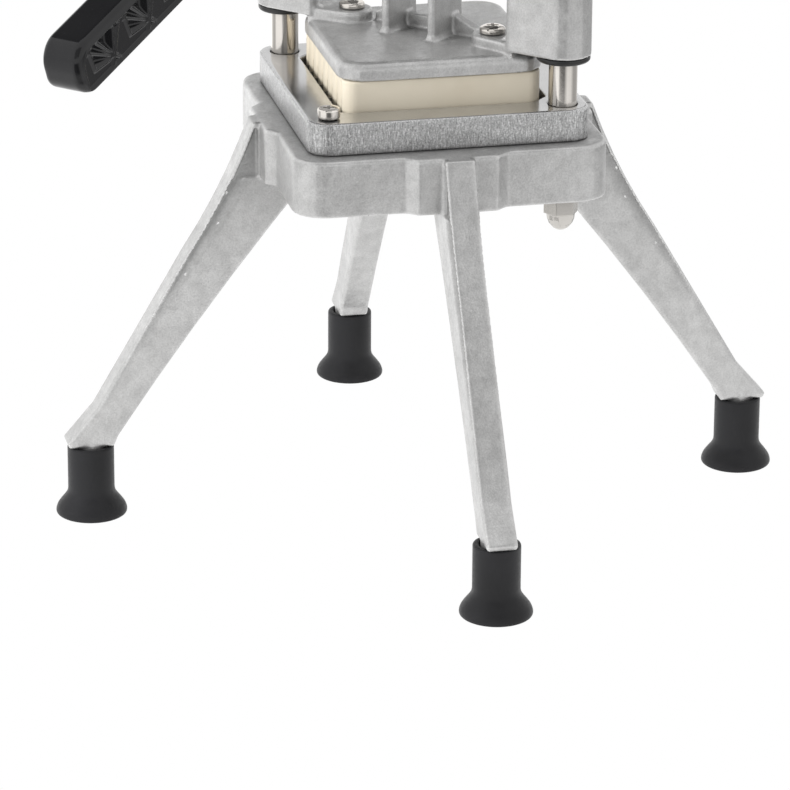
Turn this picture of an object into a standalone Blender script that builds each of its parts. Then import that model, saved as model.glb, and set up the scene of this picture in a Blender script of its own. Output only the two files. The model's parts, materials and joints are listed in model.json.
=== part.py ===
"""Push-down potato slicer: a pusher head on two guide rods, over a square cutter on four legs.

Lengths are in metres and +Z is up. The handle runs along X and the guide rods stand on the Y axis.
The origin is on the table, under the middle of the cutter. The base, the cutter and the pusher
block are square to axes turned 45 degrees from the handle. The blades run along the turned x axis.
The head is modelled at its lowest stop and slides straight up.
"""
from math import cos, pi, radians, sin, sqrt

import bmesh
import bpy
from mathutils import Matrix, Vector

# Clearances
GAP = 0.0003
OVERRUN = 0.002
WELD = 0.0012

# Facets
ROUND_STEPS = 24
SMALL_STEPS = 16
CORNER_STEPS = 5

# Base casting: a square ring with a leg from the middle of each side
RING_HALF = 0.0705
RING_CORNER = 0.0142
RING_BOTTOM = 0.1569
RING_HEIGHT = 0.0258
RING_LIP = 0.0016
PAD_PROUD = 0.0045
PAD_HALF = 0.0188
PAD_SLOPE = 0.0044
PAD_ROUND = 0.0022
PEG_RADIUS = 0.0072
LEG_REACH = 0.1524
LEG_WIDTH = 0.0140
LEG_EDGE = 0.0010
LEG_TOE = 0.0115
LEG_HEEL = 0.0098
LEG_HEEL_RISE = 0.0050
LEG_HEEL_DRAFT = 0.0021
LEG_TIP_RISE = 0.0024
LEG_TIP_DRAFT = 0.0011
LEG_ANKLE_BACK = 0.0022
LEG_ANKLE_RISE = 0.0180
LEG_KNEE_OUT_SHARE = 0.434
LEG_KNEE_DROP_SHARE = 0.408
LEG_KNEE_SAG = 0.0020
LEG_SHOULDER = 0.0030
LEG_SHOULDER_DROP = 0.0006
LEG_INNER_SAG = 0.0019
LEG_STEPS = 5
RECESS_LAND = 0.0015
RECESS_DEPTH = 0.0016
RECESS_WIDTH = 0.0048
WELL_DEPTH = 0.0190
WELL_WALL = 0.0050
WELL_CORNER = 0.0030

# Feet
FOOT_HEIGHT = 0.0329
FOOT_RADIUS = 0.01055
FOOT_FLARE_RADIUS = 0.01615
FOOT_FLARE_HEIGHT = 0.0108
FOOT_RIM = 0.0014
FOOT_FLOOR = 0.0080
FOOT_EDGE = 0.0008
FLARE_OUT_SHARES = (0.95, 0.76, 0.48, 0.23, 0.06)
FLARE_RISE_SHARES = (0.16, 0.36, 0.58, 0.78, 0.93)

# Cutter frame and blades
CUTTER_HALF = 0.0632
CUTTER_CORNER = 0.0100
CUTTER_THICK = 0.0142
CUTTER_EDGE = 0.0010
MOUTH_CLEARANCE = 0.0028
MOUTH_CORNER = 0.0055
MOUTH_CHAMFER = 0.0075
BLADE_PITCH = 0.0103
BLADE_COUNT = 8
BLADE_THICK = 0.0008
BLADE_HEIGHT = 0.0112
BLADE_EDGE = 0.0022
BLADE_EDGE_THICK = 0.0001
BLADE_HOLD = 0.0068
PIN_RADIUS = 0.0015
PIN_OVERHANG = 0.0030

# Guide rods
ROD_RADIUS = 0.00635
ROD_SPACING = 0.1469
ROD_SEAT = 0.0080
ROD_EDGE = 0.0010
STUD_RADIUS = 0.0046
CAP_NUT_FLATS = 0.0136
CAP_NUT_HEX = 0.0078
CAP_NUT_DOME = 0.0082
CAP_NUT_ROOF = 0.0030
WASHER_RADIUS = 0.0088
WASHER_THICK = 0.0016
RING_GROOVE = 0.0011
STOP_RING_RADIUS = 0.0076
STOP_RING_THICK = 0.0014

# Cutter screws
CUTTER_SCREW_RADIUS = 0.0025
CUTTER_SCREW_HEAD = 0.0050
CUTTER_SCREW_HEAD_HEIGHT = 0.0048
CUTTER_SCREW_LENGTH = 0.0290
CUTTER_SCREW_INSET = 0.0098
SCREW_EDGE = 0.0006

# Pusher block
BLOCK_SIZE = 0.0889
BLOCK_CORNER = 0.0055
BLOCK_HEIGHT = 0.0304
SLOT_WIDTH = 0.0022
SLOT_OVER_CUTTER = 0.0026

# Head casting
PUSHER_GAP = 0.0129
LIFT = 0.1000
PLATE_HALF = 0.0460
PLATE_CORNER = 0.0120
PLATE_THICK = 0.0080
PLATE_ROUND = 0.0035
SLEEVE_RADIUS = 0.01235
SLEEVE_STEP = 0.0017
SLAB_INNER = 0.0231
SLAB_CORNER = 0.0022
SLEEVE_ROUND = 0.0070
CAP_THICK = 0.0060
TONGUE_HALF = 0.0093
TONGUE_HEIGHT = 0.0052
TONGUE_ROUND = 0.0008
BLOCK_SCREW_PLACE = 0.0370
EAR_GAP = 0.0200
EAR_THICK = 0.0040
EAR_HALF = 0.0122
EAR_TOP_HALF = 0.0175
EAR_ROUND = 0.0012
EAR_FLARE = 0.0230
EAR_FOOT = 0.0024
EAR_HEAD = 0.0012
RIB_START = 0.0030
RIB_THICK = 0.0050
RIB_HEIGHT = 0.0062
GUSSET_HEIGHT = 0.0094
GUSSET_LENGTH = 0.0125
GUSSET_TOE = 0.0040
BRIDGE_HALF = 0.0058
BRIDGE_DEPTH = 0.0180
BRIDGE_ARCH = 0.0120
BASE_FILLET = 0.0070
FILLET_STEPS = 4

# Bushings and bumpers
BUSH_RADIUS = 0.00825
BUSH_FLANGE_RADIUS = 0.0119
BUSH_FLANGE = 0.0025
BUSH_LENGTH = 0.0120
BUSH_SPAN = 0.0400
BORE_STEP = 0.0005
BUMPER_RADIUS = 0.0072
BUMPER_THICK = 0.0056
BUMPER_EDGE = 0.0008

# Block screws
BLOCK_SCREW_RADIUS = 0.0024
BLOCK_SCREW_HEAD = 0.0058
BLOCK_SCREW_HEAD_HEIGHT = 0.0034
BLOCK_SCREW_GRIP = 0.0070

# Handle: an arch of constant section whose wings fall away straight
HANDLE_WIDTH = 0.0190
HANDLE_DEPTH = 0.0233
HANDLE_UNDER = 0.3285
HANDLE_ARC = 0.3780
HANDLE_DROOP = radians(20.1)
HANDLE_LENGTH = 0.2780
HANDLE_EDGE = 0.0036
HANDLE_LOWER_EDGE_SHARE = 0.3
TIP_LOWER_ROUND = 0.0085
TIP_UPPER_ROUND = 0.0110
ARC_STEPS = 12
FAN_PITCH = 0.0260
FAN_FROM_TIP = 0.0240
FAN_FOOT = 0.0062
FAN_HEIGHT = 0.0135
FAN_DEPTH = 0.0052
FAN_STOP = 0.0400
HUB_HALF = 0.0230
FAN_PITCH_SHARES = (
    (-0.03, -0.24, -0.17),
    (0.02, -0.09, 0.29),
    (0.08, 0.40, 0.50),
    (0.11, 0.50, 0.47),
)
FAN_HEIGHT_SHARES = (
    (0.13, 0.84, 0.89),
    (0.17, 0.95, 0.95),
    (0.17, 0.94, 0.78),
    (0.09, 0.62, 0.19),
)

# Handle bolts
BOLT_RADIUS = 0.0025
BOLT_HEAD = 0.0047
BOLT_HEAD_HEIGHT = 0.0034
BOLT_HALF_SPACING = 0.0112
BOLT_NUT_FLATS = 0.0082
BOLT_NUT_HEIGHT = 0.0042
BOLT_END = 0.0012

# Heights that follow from the sizes above
RING_TOP = RING_BOTTOM + RING_HEIGHT
CUTTER_BOTTOM = RING_TOP + GAP
CUTTER_TOP = CUTTER_BOTTOM + CUTTER_THICK
BLOCK_TOP = CUTTER_TOP + PUSHER_GAP
BLOCK_BOTTOM = BLOCK_TOP - BLOCK_HEIGHT
PLATE_BOTTOM = BLOCK_TOP + GAP
PLATE_TOP = PLATE_BOTTOM + PLATE_THICK
TONGUE_TOP = PLATE_TOP + TONGUE_HEIGHT
SLEEVE_BOTTOM = PLATE_TOP + SLEEVE_STEP
BUSH_TOP = SLEEVE_BOTTOM + BUSH_SPAN
LEG_END = FOOT_HEIGHT + GAP
BLADE_BOTTOM = CUTTER_BOTTOM + GAP
BLADE_TOP = BLADE_BOTTOM + BLADE_HEIGHT
PIN_HEIGHT = BLADE_BOTTOM + BLADE_HEIGHT / 2
ROD_FOOT = RING_TOP - ROD_SEAT
STOP_RING_BOTTOM = BUSH_TOP + LIFT + GAP
STOP_RING_TOP = STOP_RING_BOTTOM + STOP_RING_THICK
ROD_TOP = STOP_RING_TOP + RING_GROOVE + ROD_EDGE
BUMPER_BOTTOM = ROD_TOP + GAP
BORE_TOP = BUMPER_BOTTOM + BUMPER_THICK + GAP
SLEEVE_TOP = BORE_TOP + CAP_THICK
BOLT_HEIGHT = HANDLE_UNDER + HANDLE_DEPTH / 2
EAR_TOP = HANDLE_UNDER + HANDLE_DEPTH

# Places that follow from the sizes above
BLOCK_HALF = BLOCK_SIZE / 2
MOUTH_HALF = BLOCK_HALF + MOUTH_CLEARANCE
THROAT_HALF = MOUTH_HALF + MOUTH_CLEARANCE / 2
PAD_FACE = RING_HALF + PAD_PROUD
ROD_PLACE = ROD_SPACING / 2
ROD_CORNER = ROD_PLACE / sqrt(2)
SCREW_CORNER = CUTTER_HALF - CUTTER_SCREW_INSET
BLADE_HALF = MOUTH_HALF + BLADE_HOLD
PIN_PLACE = MOUTH_HALF + BLADE_HOLD / 2
PIN_HALF = (BLADE_COUNT - 1) * BLADE_PITCH / 2 + PIN_OVERHANG
EAR_INNER = EAR_GAP / 2
EAR_OUTER = EAR_INNER + EAR_THICK
SLAB_FACE = ROD_PLACE - SLAB_INNER
HANDLE_HALF = HANDLE_WIDTH / 2
NUT_TOP = RING_BOTTOM - WASHER_THICK - 2 * GAP

# Frames that shapes are drawn in: square turns 45 degrees, upright draws in XZ, sideways in YZ
HERE = Matrix()
SQUARE = Matrix.Rotation(-pi / 4, 4, "Z")
UPRIGHT = Matrix.Rotation(pi / 2, 4, "X")
SIDEWAYS = Matrix(((0, 0, 1, 0), (1, 0, 0, 0), (0, 1, 0, 0), (0, 0, 0, 1)))


def material(name, colour, roughness, metallic):
    """A plain Principled material."""
    made = bpy.data.materials.new(name)
    made.use_nodes = True
    shader = made.node_tree.nodes["Principled BSDF"]
    shader.inputs["Base Color"].default_value = (*colour, 1)
    shader.inputs["Roughness"].default_value = roughness
    shader.inputs["Metallic"].default_value = metallic
    made.diffuse_color = (*colour, 1)
    return made


def arc(centre, radius, start, end, steps):
    """Points on an arc, both ends included."""
    turns = [start + (end - start) * k / steps for k in range(steps + 1)]
    return [(centre[0] + radius * cos(t), centre[1] + radius * sin(t)) for t in turns]


def bowed(start, end, sag, steps):
    """Points from start to end on a shallow curve that bows sag to the left."""
    run = Vector(end) - Vector(start)
    left = Vector((-run.y, run.x)).normalized()
    points = []
    for k in range(steps + 1):
        t = k / steps
        points.append(tuple(Vector(start) + run * t + left * sag * 4 * t * (1 - t)))
    return points


def corner_square(half, corners):
    """A square outline, anticlockwise from +x+y, with a (radius, steps) pair for each corner."""
    points = []
    for k, (radius, steps) in enumerate(corners):
        turn = k * pi / 2
        reach = half - radius
        centre = (reach * (cos(turn) - sin(turn)), reach * (sin(turn) + cos(turn)))
        points += arc(centre, radius, turn, turn + pi / 2, steps)
    return points


def plain_corners(radius, steps=CORNER_STEPS):
    return ((radius, steps),) * 4


def offset(points, inset):
    """The outline moved inwards by inset along each corner's mitre."""
    if not inset:
        return points
    moved = []
    for k, point in enumerate(points):
        here = Vector(point)
        back = (here - Vector(points[k - 1])).normalized()
        ahead = (Vector(points[(k + 1) % len(points)]) - here).normalized()
        inwards = Vector((-back.y - ahead.y, back.x + ahead.x)).normalized()
        moved.append(tuple(here + inwards * inset / inwards.dot(Vector((-back.y, back.x)))))
    return moved


def layers(points, levels):
    """Loops of one outline at (inset, height) levels."""
    return [[(x, y, height) for x, y in offset(points, inset)] for inset, height in levels]


def rounded_levels(bottom, top, radius, steps):
    """Levels of a slab whose top edge is rounded."""
    levels = [(0, bottom)]
    for k in range(steps + 1):
        turn = k / steps * pi / 2
        levels.append((radius * (1 - cos(turn)), top - radius * (1 - sin(turn))))
    return levels


def add_loops(mesh, loops, place=HERE):
    """Add a closed body that joins equal loops and caps both ends."""
    rows = [[mesh.verts.new(place @ Vector(point)) for point in loop] for loop in loops]
    for low, high in zip(rows, rows[1:]):
        for k in range(len(low)):
            n = (k + 1) % len(low)
            mesh.faces.new((low[k], low[n], high[n], high[k]))
    mesh.faces.new(rows[0][::-1])
    mesh.faces.new(rows[-1])


def add_prism(mesh, points, bottom, top, place=HERE):
    add_loops(mesh, layers(points, ((0, bottom), (0, top))), place)


def add_lathe(mesh, profile, steps, place=HERE, hollow=False):
    """Turn a (radius, height) profile about z. A hollow profile closes on itself."""
    rows = []
    for radius, height in profile:
        count = steps if radius else 1
        turns = [2 * pi * k / steps for k in range(count)]
        rows.append([mesh.verts.new(place @ Vector((radius * cos(t), radius * sin(t), height)))
                     for t in turns])
    pairs = list(zip(rows, rows[1:]))
    if hollow:
        pairs.append((rows[-1], rows[0]))
    for low, high in pairs:
        for k in range(steps):
            n = (k + 1) % steps
            corners = [low[k % len(low)], low[n % len(low)], high[n % len(high)], high[k % len(high)]]
            mesh.faces.new(list(dict.fromkeys(corners)))
    if not hollow:
        for row in (rows[0], rows[-1]):
            if len(row) > 1:
                mesh.faces.new(row)


def at(x, y, z=0.0):
    return Matrix.Translation((x, y, z))


def finish_mesh(name, mesh):
    """Close a bmesh into mesh data with its faces outwards and its round sides smooth."""
    bmesh.ops.recalc_face_normals(mesh, faces=mesh.faces)
    data = bpy.data.meshes.new(name)
    mesh.to_mesh(data)
    mesh.free()
    data.shade_smooth()
    data.set_sharp_from_angle(angle=radians(35))
    return data


def place_object(name, data, finish, parent=None, spot=(0, 0, 0), turn=0.0):
    """Put mesh data in the scene as one object."""
    made = bpy.data.objects.new(name, data)
    if finish and not data.materials:
        data.materials.append(finish)
    made.location = spot
    made.rotation_euler = (0, 0, turn)
    made.parent = parent
    bpy.context.collection.objects.link(made)
    return made


def solid(name, mesh, finish, parent=None, spot=(0, 0, 0), turn=0.0):
    return place_object(name, finish_mesh(name, mesh), finish, parent, spot, turn)


def modify(target, operation, name, mesh):
    """Add a Boolean whose tool is a hidden body drawn in the target's own axes."""
    tool = place_object(name, finish_mesh(name, mesh), None, target)
    tool.hide_render = True
    tool.display_type = "WIRE"
    boolean = target.modifiers.new(name, "BOOLEAN")
    boolean.operation = operation
    boolean.solver = "EXACT"
    boolean.object = tool


def axes_empty(name, turn=0.0, parent=None):
    made = bpy.data.objects.new(name, None)
    made.rotation_euler = (0, 0, turn)
    made.parent = parent
    bpy.context.collection.objects.link(made)
    return made


def rod_corners():
    """The two corners of the square frame that hold the guide rods."""
    return (-ROD_CORNER, ROD_CORNER), (ROD_CORNER, -ROD_CORNER)


def screw_corners():
    """The two corners of the square frame that hold the cutter screws."""
    return (-SCREW_CORNER, -SCREW_CORNER), (SCREW_CORNER, SCREW_CORNER)


def opening_outline(half):
    """The mouth's outline: cut corners beside the rods, rounded corners beside the screws."""
    rounded = (MOUTH_CORNER, CORNER_STEPS)
    cut_off = (MOUTH_CHAMFER, 1)
    return corner_square(half, (rounded, cut_off, rounded, cut_off))


def ring_outline():
    """The ring's outside, with a raised pad in the middle of each side."""
    points = []
    reach = RING_HALF - RING_CORNER
    for k in range(4):
        turn = k * pi / 2
        side = [
            (RING_HALF, -PAD_HALF - PAD_SLOPE),
            (PAD_FACE - PAD_ROUND, -PAD_HALF - PAD_ROUND / 2),
            (PAD_FACE, -PAD_HALF + PAD_ROUND / 2),
            (PAD_FACE, PAD_HALF - PAD_ROUND / 2),
            (PAD_FACE - PAD_ROUND, PAD_HALF + PAD_ROUND / 2),
            (RING_HALF, PAD_HALF + PAD_SLOPE),
        ]
        side += arc((reach, reach), RING_CORNER, 0, pi / 2, CORNER_STEPS + 2)
        points += [(x * cos(turn) - y * sin(turn), x * sin(turn) + y * cos(turn)) for x, y in side]
    return points


def leg_curve():
    """The leg's outer edge from the shoulder beside the ring down to the ankle, in x and z."""
    shoulder = (PAD_FACE + LEG_SHOULDER, RING_TOP - LEG_SHOULDER_DROP)
    ankle = (LEG_REACH - LEG_ANKLE_BACK, LEG_END + LEG_ANKLE_RISE)
    knee = (PAD_FACE + (LEG_REACH - PAD_FACE) * LEG_KNEE_OUT_SHARE,
            RING_TOP - (RING_TOP - LEG_END) * LEG_KNEE_DROP_SHARE)
    return bowed(shoulder, knee, -LEG_KNEE_SAG, LEG_STEPS) + [ankle]


def leg_outline():
    """The leg seen from its side, with its root inside the ring."""
    heel = LEG_REACH - LEG_HEEL
    toe = LEG_REACH + LEG_TOE
    tip = LEG_END + LEG_TIP_RISE
    root = (THROAT_HALF + WELD, RING_BOTTOM + WELD)
    instep = (heel - LEG_HEEL_DRAFT, LEG_END + LEG_HEEL_RISE)
    points = [(heel, LEG_END), (toe - LEG_TIP_DRAFT, LEG_END), (toe, tip)]
    points += [(toe - 2 * LEG_TIP_DRAFT, tip + LEG_TIP_RISE)] + leg_curve()[::-1]
    points += [(PAD_FACE - PAD_PROUD, RING_TOP - LEG_SHOULDER_DROP), (root[0], RING_TOP - PAD_PROUD)]
    points += bowed(root, instep, LEG_INNER_SAG, LEG_STEPS)
    return points


def recess_outline():
    """The tapering hollow under the leg's outer edge, with its three-cornered top at the ring."""
    edge = leg_curve()
    last = len(edge) - 1
    outer = []
    inner = []
    for k, point in enumerate(edge):
        ahead = Vector(edge[min(k + 1, last)]) - Vector(edge[max(k - 1, 0)])
        inwards = Vector((ahead.y, -ahead.x)).normalized()
        fade = (point[1] - edge[-1][1]) / (edge[0][1] - edge[-1][1])
        outer.append(tuple(Vector(point) + inwards * RECESS_LAND))
        inner.append(tuple(Vector(point) + inwards * (RECESS_LAND + RECESS_WIDTH * fade)))
    inner = [point for point in inner[:-1] if point[1] < RING_BOTTOM]
    wall = PAD_FACE + LEG_EDGE
    return [(wall, outer[0][1])] + outer + inner[::-1] + [
        (inner[0][0] - LEG_EDGE, RING_BOTTOM), (wall, RING_BOTTOM)]


def base_casting(parent, finish):
    """The ring and its four legs, cast in one piece."""
    ring = bmesh.new()
    add_loops(ring, layers(ring_outline(), rounded_levels(RING_BOTTOM, RING_TOP, RING_LIP, 2)))
    casting = solid("base_casting", ring, finish, parent)

    legs = bmesh.new()
    pegs = bmesh.new()
    recesses = bmesh.new()
    half = LEG_WIDTH / 2
    section = ((LEG_EDGE, -half), (0, LEG_EDGE - half), (0, half - LEG_EDGE), (LEG_EDGE, half))
    peg_foot = FOOT_FLOOR + GAP
    for k in range(4):
        turn = Matrix.Rotation(k * pi / 2, 4, "Z")
        add_loops(legs, layers(leg_outline(), section), turn @ UPRIGHT)
        peg = ((PEG_RADIUS, peg_foot), (PEG_RADIUS, LEG_END + WELD))
        add_lathe(pegs, peg, SMALL_STEPS, turn @ at(LEG_REACH, 0))
        for low in (-half - OVERRUN, half - RECESS_DEPTH):
            add_prism(recesses, recess_outline(), low, low + RECESS_DEPTH + OVERRUN, turn @ UPRIGHT)
    modify(casting, "UNION", "leg_bodies", legs)
    modify(casting, "UNION", "foot_pegs", pegs)
    modify(casting, "DIFFERENCE", "leg_recesses", recesses)
    modify(casting, "DIFFERENCE", "ring_hollows", ring_hollows())


def ring_hollows():
    """The throat, the wells under the ring, and the holes for the rods and cutter screws."""
    hollows = bmesh.new()
    below = RING_BOTTOM - OVERRUN
    add_prism(hollows, opening_outline(THROAT_HALF), below, RING_TOP + OVERRUN)
    inner = THROAT_HALF + WELL_WALL
    outer = RING_HALF - WELL_WALL
    start = PAD_HALF + PAD_SLOPE / 2
    end = ROD_CORNER - ROD_RADIUS - WELL_WALL
    size = ((outer - inner) / 2, (end - start) / 2)
    for k in range(4):
        for side in (-1, 1):
            turn = Matrix.Rotation(k * pi / 2, 4, "Z")
            well = [(x + (outer + inner) / 2, y + side * (end + start) / 2)
                    for x, y in rounded_box(size[0], size[1], WELL_CORNER)]
            add_prism(hollows, well, below, RING_BOTTOM + WELL_DEPTH, turn)
    for x, y in rod_corners():
        seat = ((STUD_RADIUS + GAP, below), (STUD_RADIUS + GAP, ROD_FOOT - GAP),
                (ROD_RADIUS + GAP, ROD_FOOT - GAP), (ROD_RADIUS + GAP, RING_TOP + OVERRUN))
        add_lathe(hollows, seat, ROUND_STEPS, at(x, y))
    for x, y in screw_corners():
        hole = ((CUTTER_SCREW_RADIUS + GAP, below), (CUTTER_SCREW_RADIUS + GAP, RING_TOP + OVERRUN))
        add_lathe(hollows, hole, SMALL_STEPS, at(x, y))
    return hollows


def rounded_box(half_x, half_y, radius):
    """A rectangle about the origin with rounded corners, anticlockwise."""
    points = []
    for k, (x, y) in enumerate(((1, 1), (-1, 1), (-1, -1), (1, -1))):
        centre = (x * (half_x - radius), y * (half_y - radius))
        points += arc(centre, radius, k * pi / 2, (k + 1) * pi / 2, 2)
    return points


def feet(parent, finish):
    """Four rubber feet that push on to the pegs and flare out on the table."""
    profile = [(FOOT_FLARE_RADIUS - FOOT_EDGE, 0), (FOOT_FLARE_RADIUS, FOOT_EDGE),
               (FOOT_FLARE_RADIUS, FOOT_RIM)]
    flare = FOOT_FLARE_RADIUS - FOOT_RADIUS
    rise = FOOT_FLARE_HEIGHT - FOOT_RIM
    for out, up in zip(FLARE_OUT_SHARES, FLARE_RISE_SHARES):
        profile.append((FOOT_RADIUS + flare * out, FOOT_RIM + rise * up))
    profile += [(FOOT_RADIUS, FOOT_FLARE_HEIGHT), (FOOT_RADIUS, FOOT_HEIGHT - FOOT_EDGE),
                (FOOT_RADIUS - FOOT_EDGE, FOOT_HEIGHT),
                (PEG_RADIUS + GAP, FOOT_HEIGHT), (PEG_RADIUS + GAP, FOOT_FLOOR), (0, FOOT_FLOOR)]
    mesh = bmesh.new()
    add_lathe(mesh, profile, ROUND_STEPS)
    data = finish_mesh("rubber_foot", mesh)
    names = ("foot_front_right", "foot_rear_right", "foot_rear_left", "foot_front_left")
    for k, name in enumerate(names):
        spot = (LEG_REACH * cos(k * pi / 2), LEG_REACH * sin(k * pi / 2), 0)
        place_object(name, data, finish, parent, spot)


def cutter_frame(parent, finish):
    """The square frame that carries the blades, slotted and grooved from below."""
    frame = bmesh.new()
    outline = corner_square(CUTTER_HALF, plain_corners(CUTTER_CORNER))
    edges = ((0, CUTTER_BOTTOM), (0, CUTTER_TOP - CUTTER_EDGE), (CUTTER_EDGE, CUTTER_TOP))
    add_loops(frame, layers(outline, edges))
    body = solid("cutter_frame", frame, finish, parent)
    modify(body, "DIFFERENCE", "blade_slots", blade_slots())
    modify(body, "DIFFERENCE", "pin_grooves", pin_grooves())

    cuts = bmesh.new()
    below = CUTTER_BOTTOM - OVERRUN
    above = CUTTER_TOP + OVERRUN
    add_prism(cuts, opening_outline(MOUTH_HALF), below, above)
    for x, y in rod_corners():
        add_lathe(cuts, ((ROD_RADIUS + GAP, below), (ROD_RADIUS + GAP, above)), ROUND_STEPS, at(x, y))
    for x, y in screw_corners():
        hole = ((CUTTER_SCREW_RADIUS + GAP, below), (CUTTER_SCREW_RADIUS + GAP, above))
        add_lathe(cuts, hole, SMALL_STEPS, at(x, y))
    modify(body, "DIFFERENCE", "cutter_mouth", cuts)


def blade_slots():
    """Slots from below for the blade ends."""
    mesh = bmesh.new()
    inner = MOUTH_HALF - OVERRUN
    outer = BLADE_HALF + GAP
    half = BLADE_THICK / 2 + GAP
    for side in (-1, 1):
        for y in blade_rows():
            box = [(inner, y - half), (outer, y - half), (outer, y + half), (inner, y + half)]
            box = [(side * px, py) for px, py in box]
            add_prism(mesh, box[::side], CUTTER_BOTTOM - OVERRUN, BLADE_TOP + GAP)
    return mesh


def pin_grooves():
    """Grooves from below for the two pins."""
    mesh = bmesh.new()
    half = PIN_RADIUS + GAP
    box = rounded_box(half, PIN_HALF + GAP, half / 2)
    for side in (-1, 1):
        add_prism(mesh, shifted(box, side * PIN_PLACE, 0), CUTTER_BOTTOM - OVERRUN, PIN_HEIGHT + half)
    return mesh


def shifted(points, x, y):
    return [(px + x, py + y) for px, py in points]


def blade_rows():
    """The y of each blade, evenly about the middle."""
    middle = (BLADE_COUNT - 1) / 2
    return [(k - middle) * BLADE_PITCH for k in range(BLADE_COUNT)]


def blades(parent, finish):
    """Flat blades with a ground upper edge, each hung on the two pins by a hole at each end."""
    half = BLADE_THICK / 2
    fine = BLADE_EDGE_THICK / 2
    section = [(-half, BLADE_BOTTOM), (half, BLADE_BOTTOM), (half, BLADE_TOP - BLADE_EDGE),
               (fine, BLADE_TOP), (-fine, BLADE_TOP), (-half, BLADE_TOP - BLADE_EDGE)]
    for k, y in enumerate(blade_rows()):
        mesh = bmesh.new()
        add_prism(mesh, section, -BLADE_HALF, BLADE_HALF, SIDEWAYS)
        blade = solid(f"blade_{k + 1}", mesh, finish, parent, (0, y, 0))
        holes = bmesh.new()
        for side in (-1, 1):
            hole = ((PIN_RADIUS + GAP, -BLADE_THICK), (PIN_RADIUS + GAP, BLADE_THICK))
            add_lathe(holes, hole, SMALL_STEPS, at(side * PIN_PLACE, 0, PIN_HEIGHT) @ UPRIGHT)
        modify(blade, "DIFFERENCE", f"blade_holes_{k + 1}", holes)
    return blade


def blade_pins(parent, finish):
    """The two pins that the blades hang on."""
    mesh = bmesh.new()
    add_lathe(mesh, ((PIN_RADIUS, -PIN_HALF), (PIN_RADIUS, PIN_HALF)), SMALL_STEPS, UPRIGHT)
    data = finish_mesh("blade_pin", mesh)
    for name, side in (("blade_pin_left", -1), ("blade_pin_right", 1)):
        place_object(name, data, finish, parent, (side * PIN_PLACE, 0, PIN_HEIGHT))


def cutter_screws(parent, finish):
    """Cheese-head screws that hold the cutter frame down on the ring."""
    top = CUTTER_SCREW_HEAD_HEIGHT
    profile = ((0, -CUTTER_SCREW_LENGTH), (CUTTER_SCREW_RADIUS, -CUTTER_SCREW_LENGTH),
               (CUTTER_SCREW_RADIUS, 0), (CUTTER_SCREW_HEAD, 0),
               (CUTTER_SCREW_HEAD, top - SCREW_EDGE), (CUTTER_SCREW_HEAD - SCREW_EDGE, top), (0, top))
    mesh = bmesh.new()
    add_lathe(mesh, profile, SMALL_STEPS)
    data = finish_mesh("cutter_screw", mesh)
    for name, (x, y) in zip(("cutter_screw_left", "cutter_screw_right"), screw_corners()):
        place_object(name, data, finish, parent, (x, y, CUTTER_TOP + GAP))


def guide_rods(parent, steel, plated):
    """Ground rods with a stud below, held by a washer and a cap nut, and a stop ring near the top."""
    groove_floor = ROD_RADIUS - RING_GROOVE
    stud_end = NUT_TOP - CAP_NUT_HEX - CAP_NUT_DOME + CAP_NUT_ROOF + GAP
    rod = bmesh.new()
    add_lathe(rod, ((0, stud_end), (STUD_RADIUS, stud_end), (STUD_RADIUS, ROD_FOOT),
                    (ROD_RADIUS, ROD_FOOT), (ROD_RADIUS, STOP_RING_BOTTOM - GAP),
                    (groove_floor, STOP_RING_BOTTOM - GAP), (groove_floor, STOP_RING_TOP + GAP),
                    (ROD_RADIUS, STOP_RING_TOP + GAP), (ROD_RADIUS, ROD_TOP - ROD_EDGE),
                    (ROD_RADIUS - ROD_EDGE, ROD_TOP), (0, ROD_TOP)), ROUND_STEPS)
    stop = bmesh.new()
    add_lathe(stop, ((groove_floor + GAP, STOP_RING_BOTTOM), (STOP_RING_RADIUS, STOP_RING_BOTTOM),
                     (STOP_RING_RADIUS, STOP_RING_TOP), (groove_floor + GAP, STOP_RING_TOP)),
              ROUND_STEPS, hollow=True)
    washer = bmesh.new()
    washer_top = RING_BOTTOM - GAP
    add_lathe(washer, ((STUD_RADIUS + GAP, washer_top - WASHER_THICK),
                       (WASHER_RADIUS, washer_top - WASHER_THICK), (WASHER_RADIUS, washer_top),
                       (STUD_RADIUS + GAP, washer_top)), SMALL_STEPS, hollow=True)
    pieces = (("guide_rod", finish_mesh("guide_rod", rod), steel),
              ("stop_ring", finish_mesh("stop_ring", stop), steel),
              ("rod_washer", finish_mesh("rod_washer", washer), plated),
              ("cap_nut", cap_nut_mesh(), plated))
    for side, (x, y) in zip(("rear", "front"), rod_corners()):
        for name, data, finish in pieces:
            place_object(f"{name}_{side}", data, finish, parent, (x, y, 0))


def hexagon(flats):
    corner = flats / sqrt(3)
    return [(corner * cos(k * pi / 3), corner * sin(k * pi / 3)) for k in range(6)]


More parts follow.
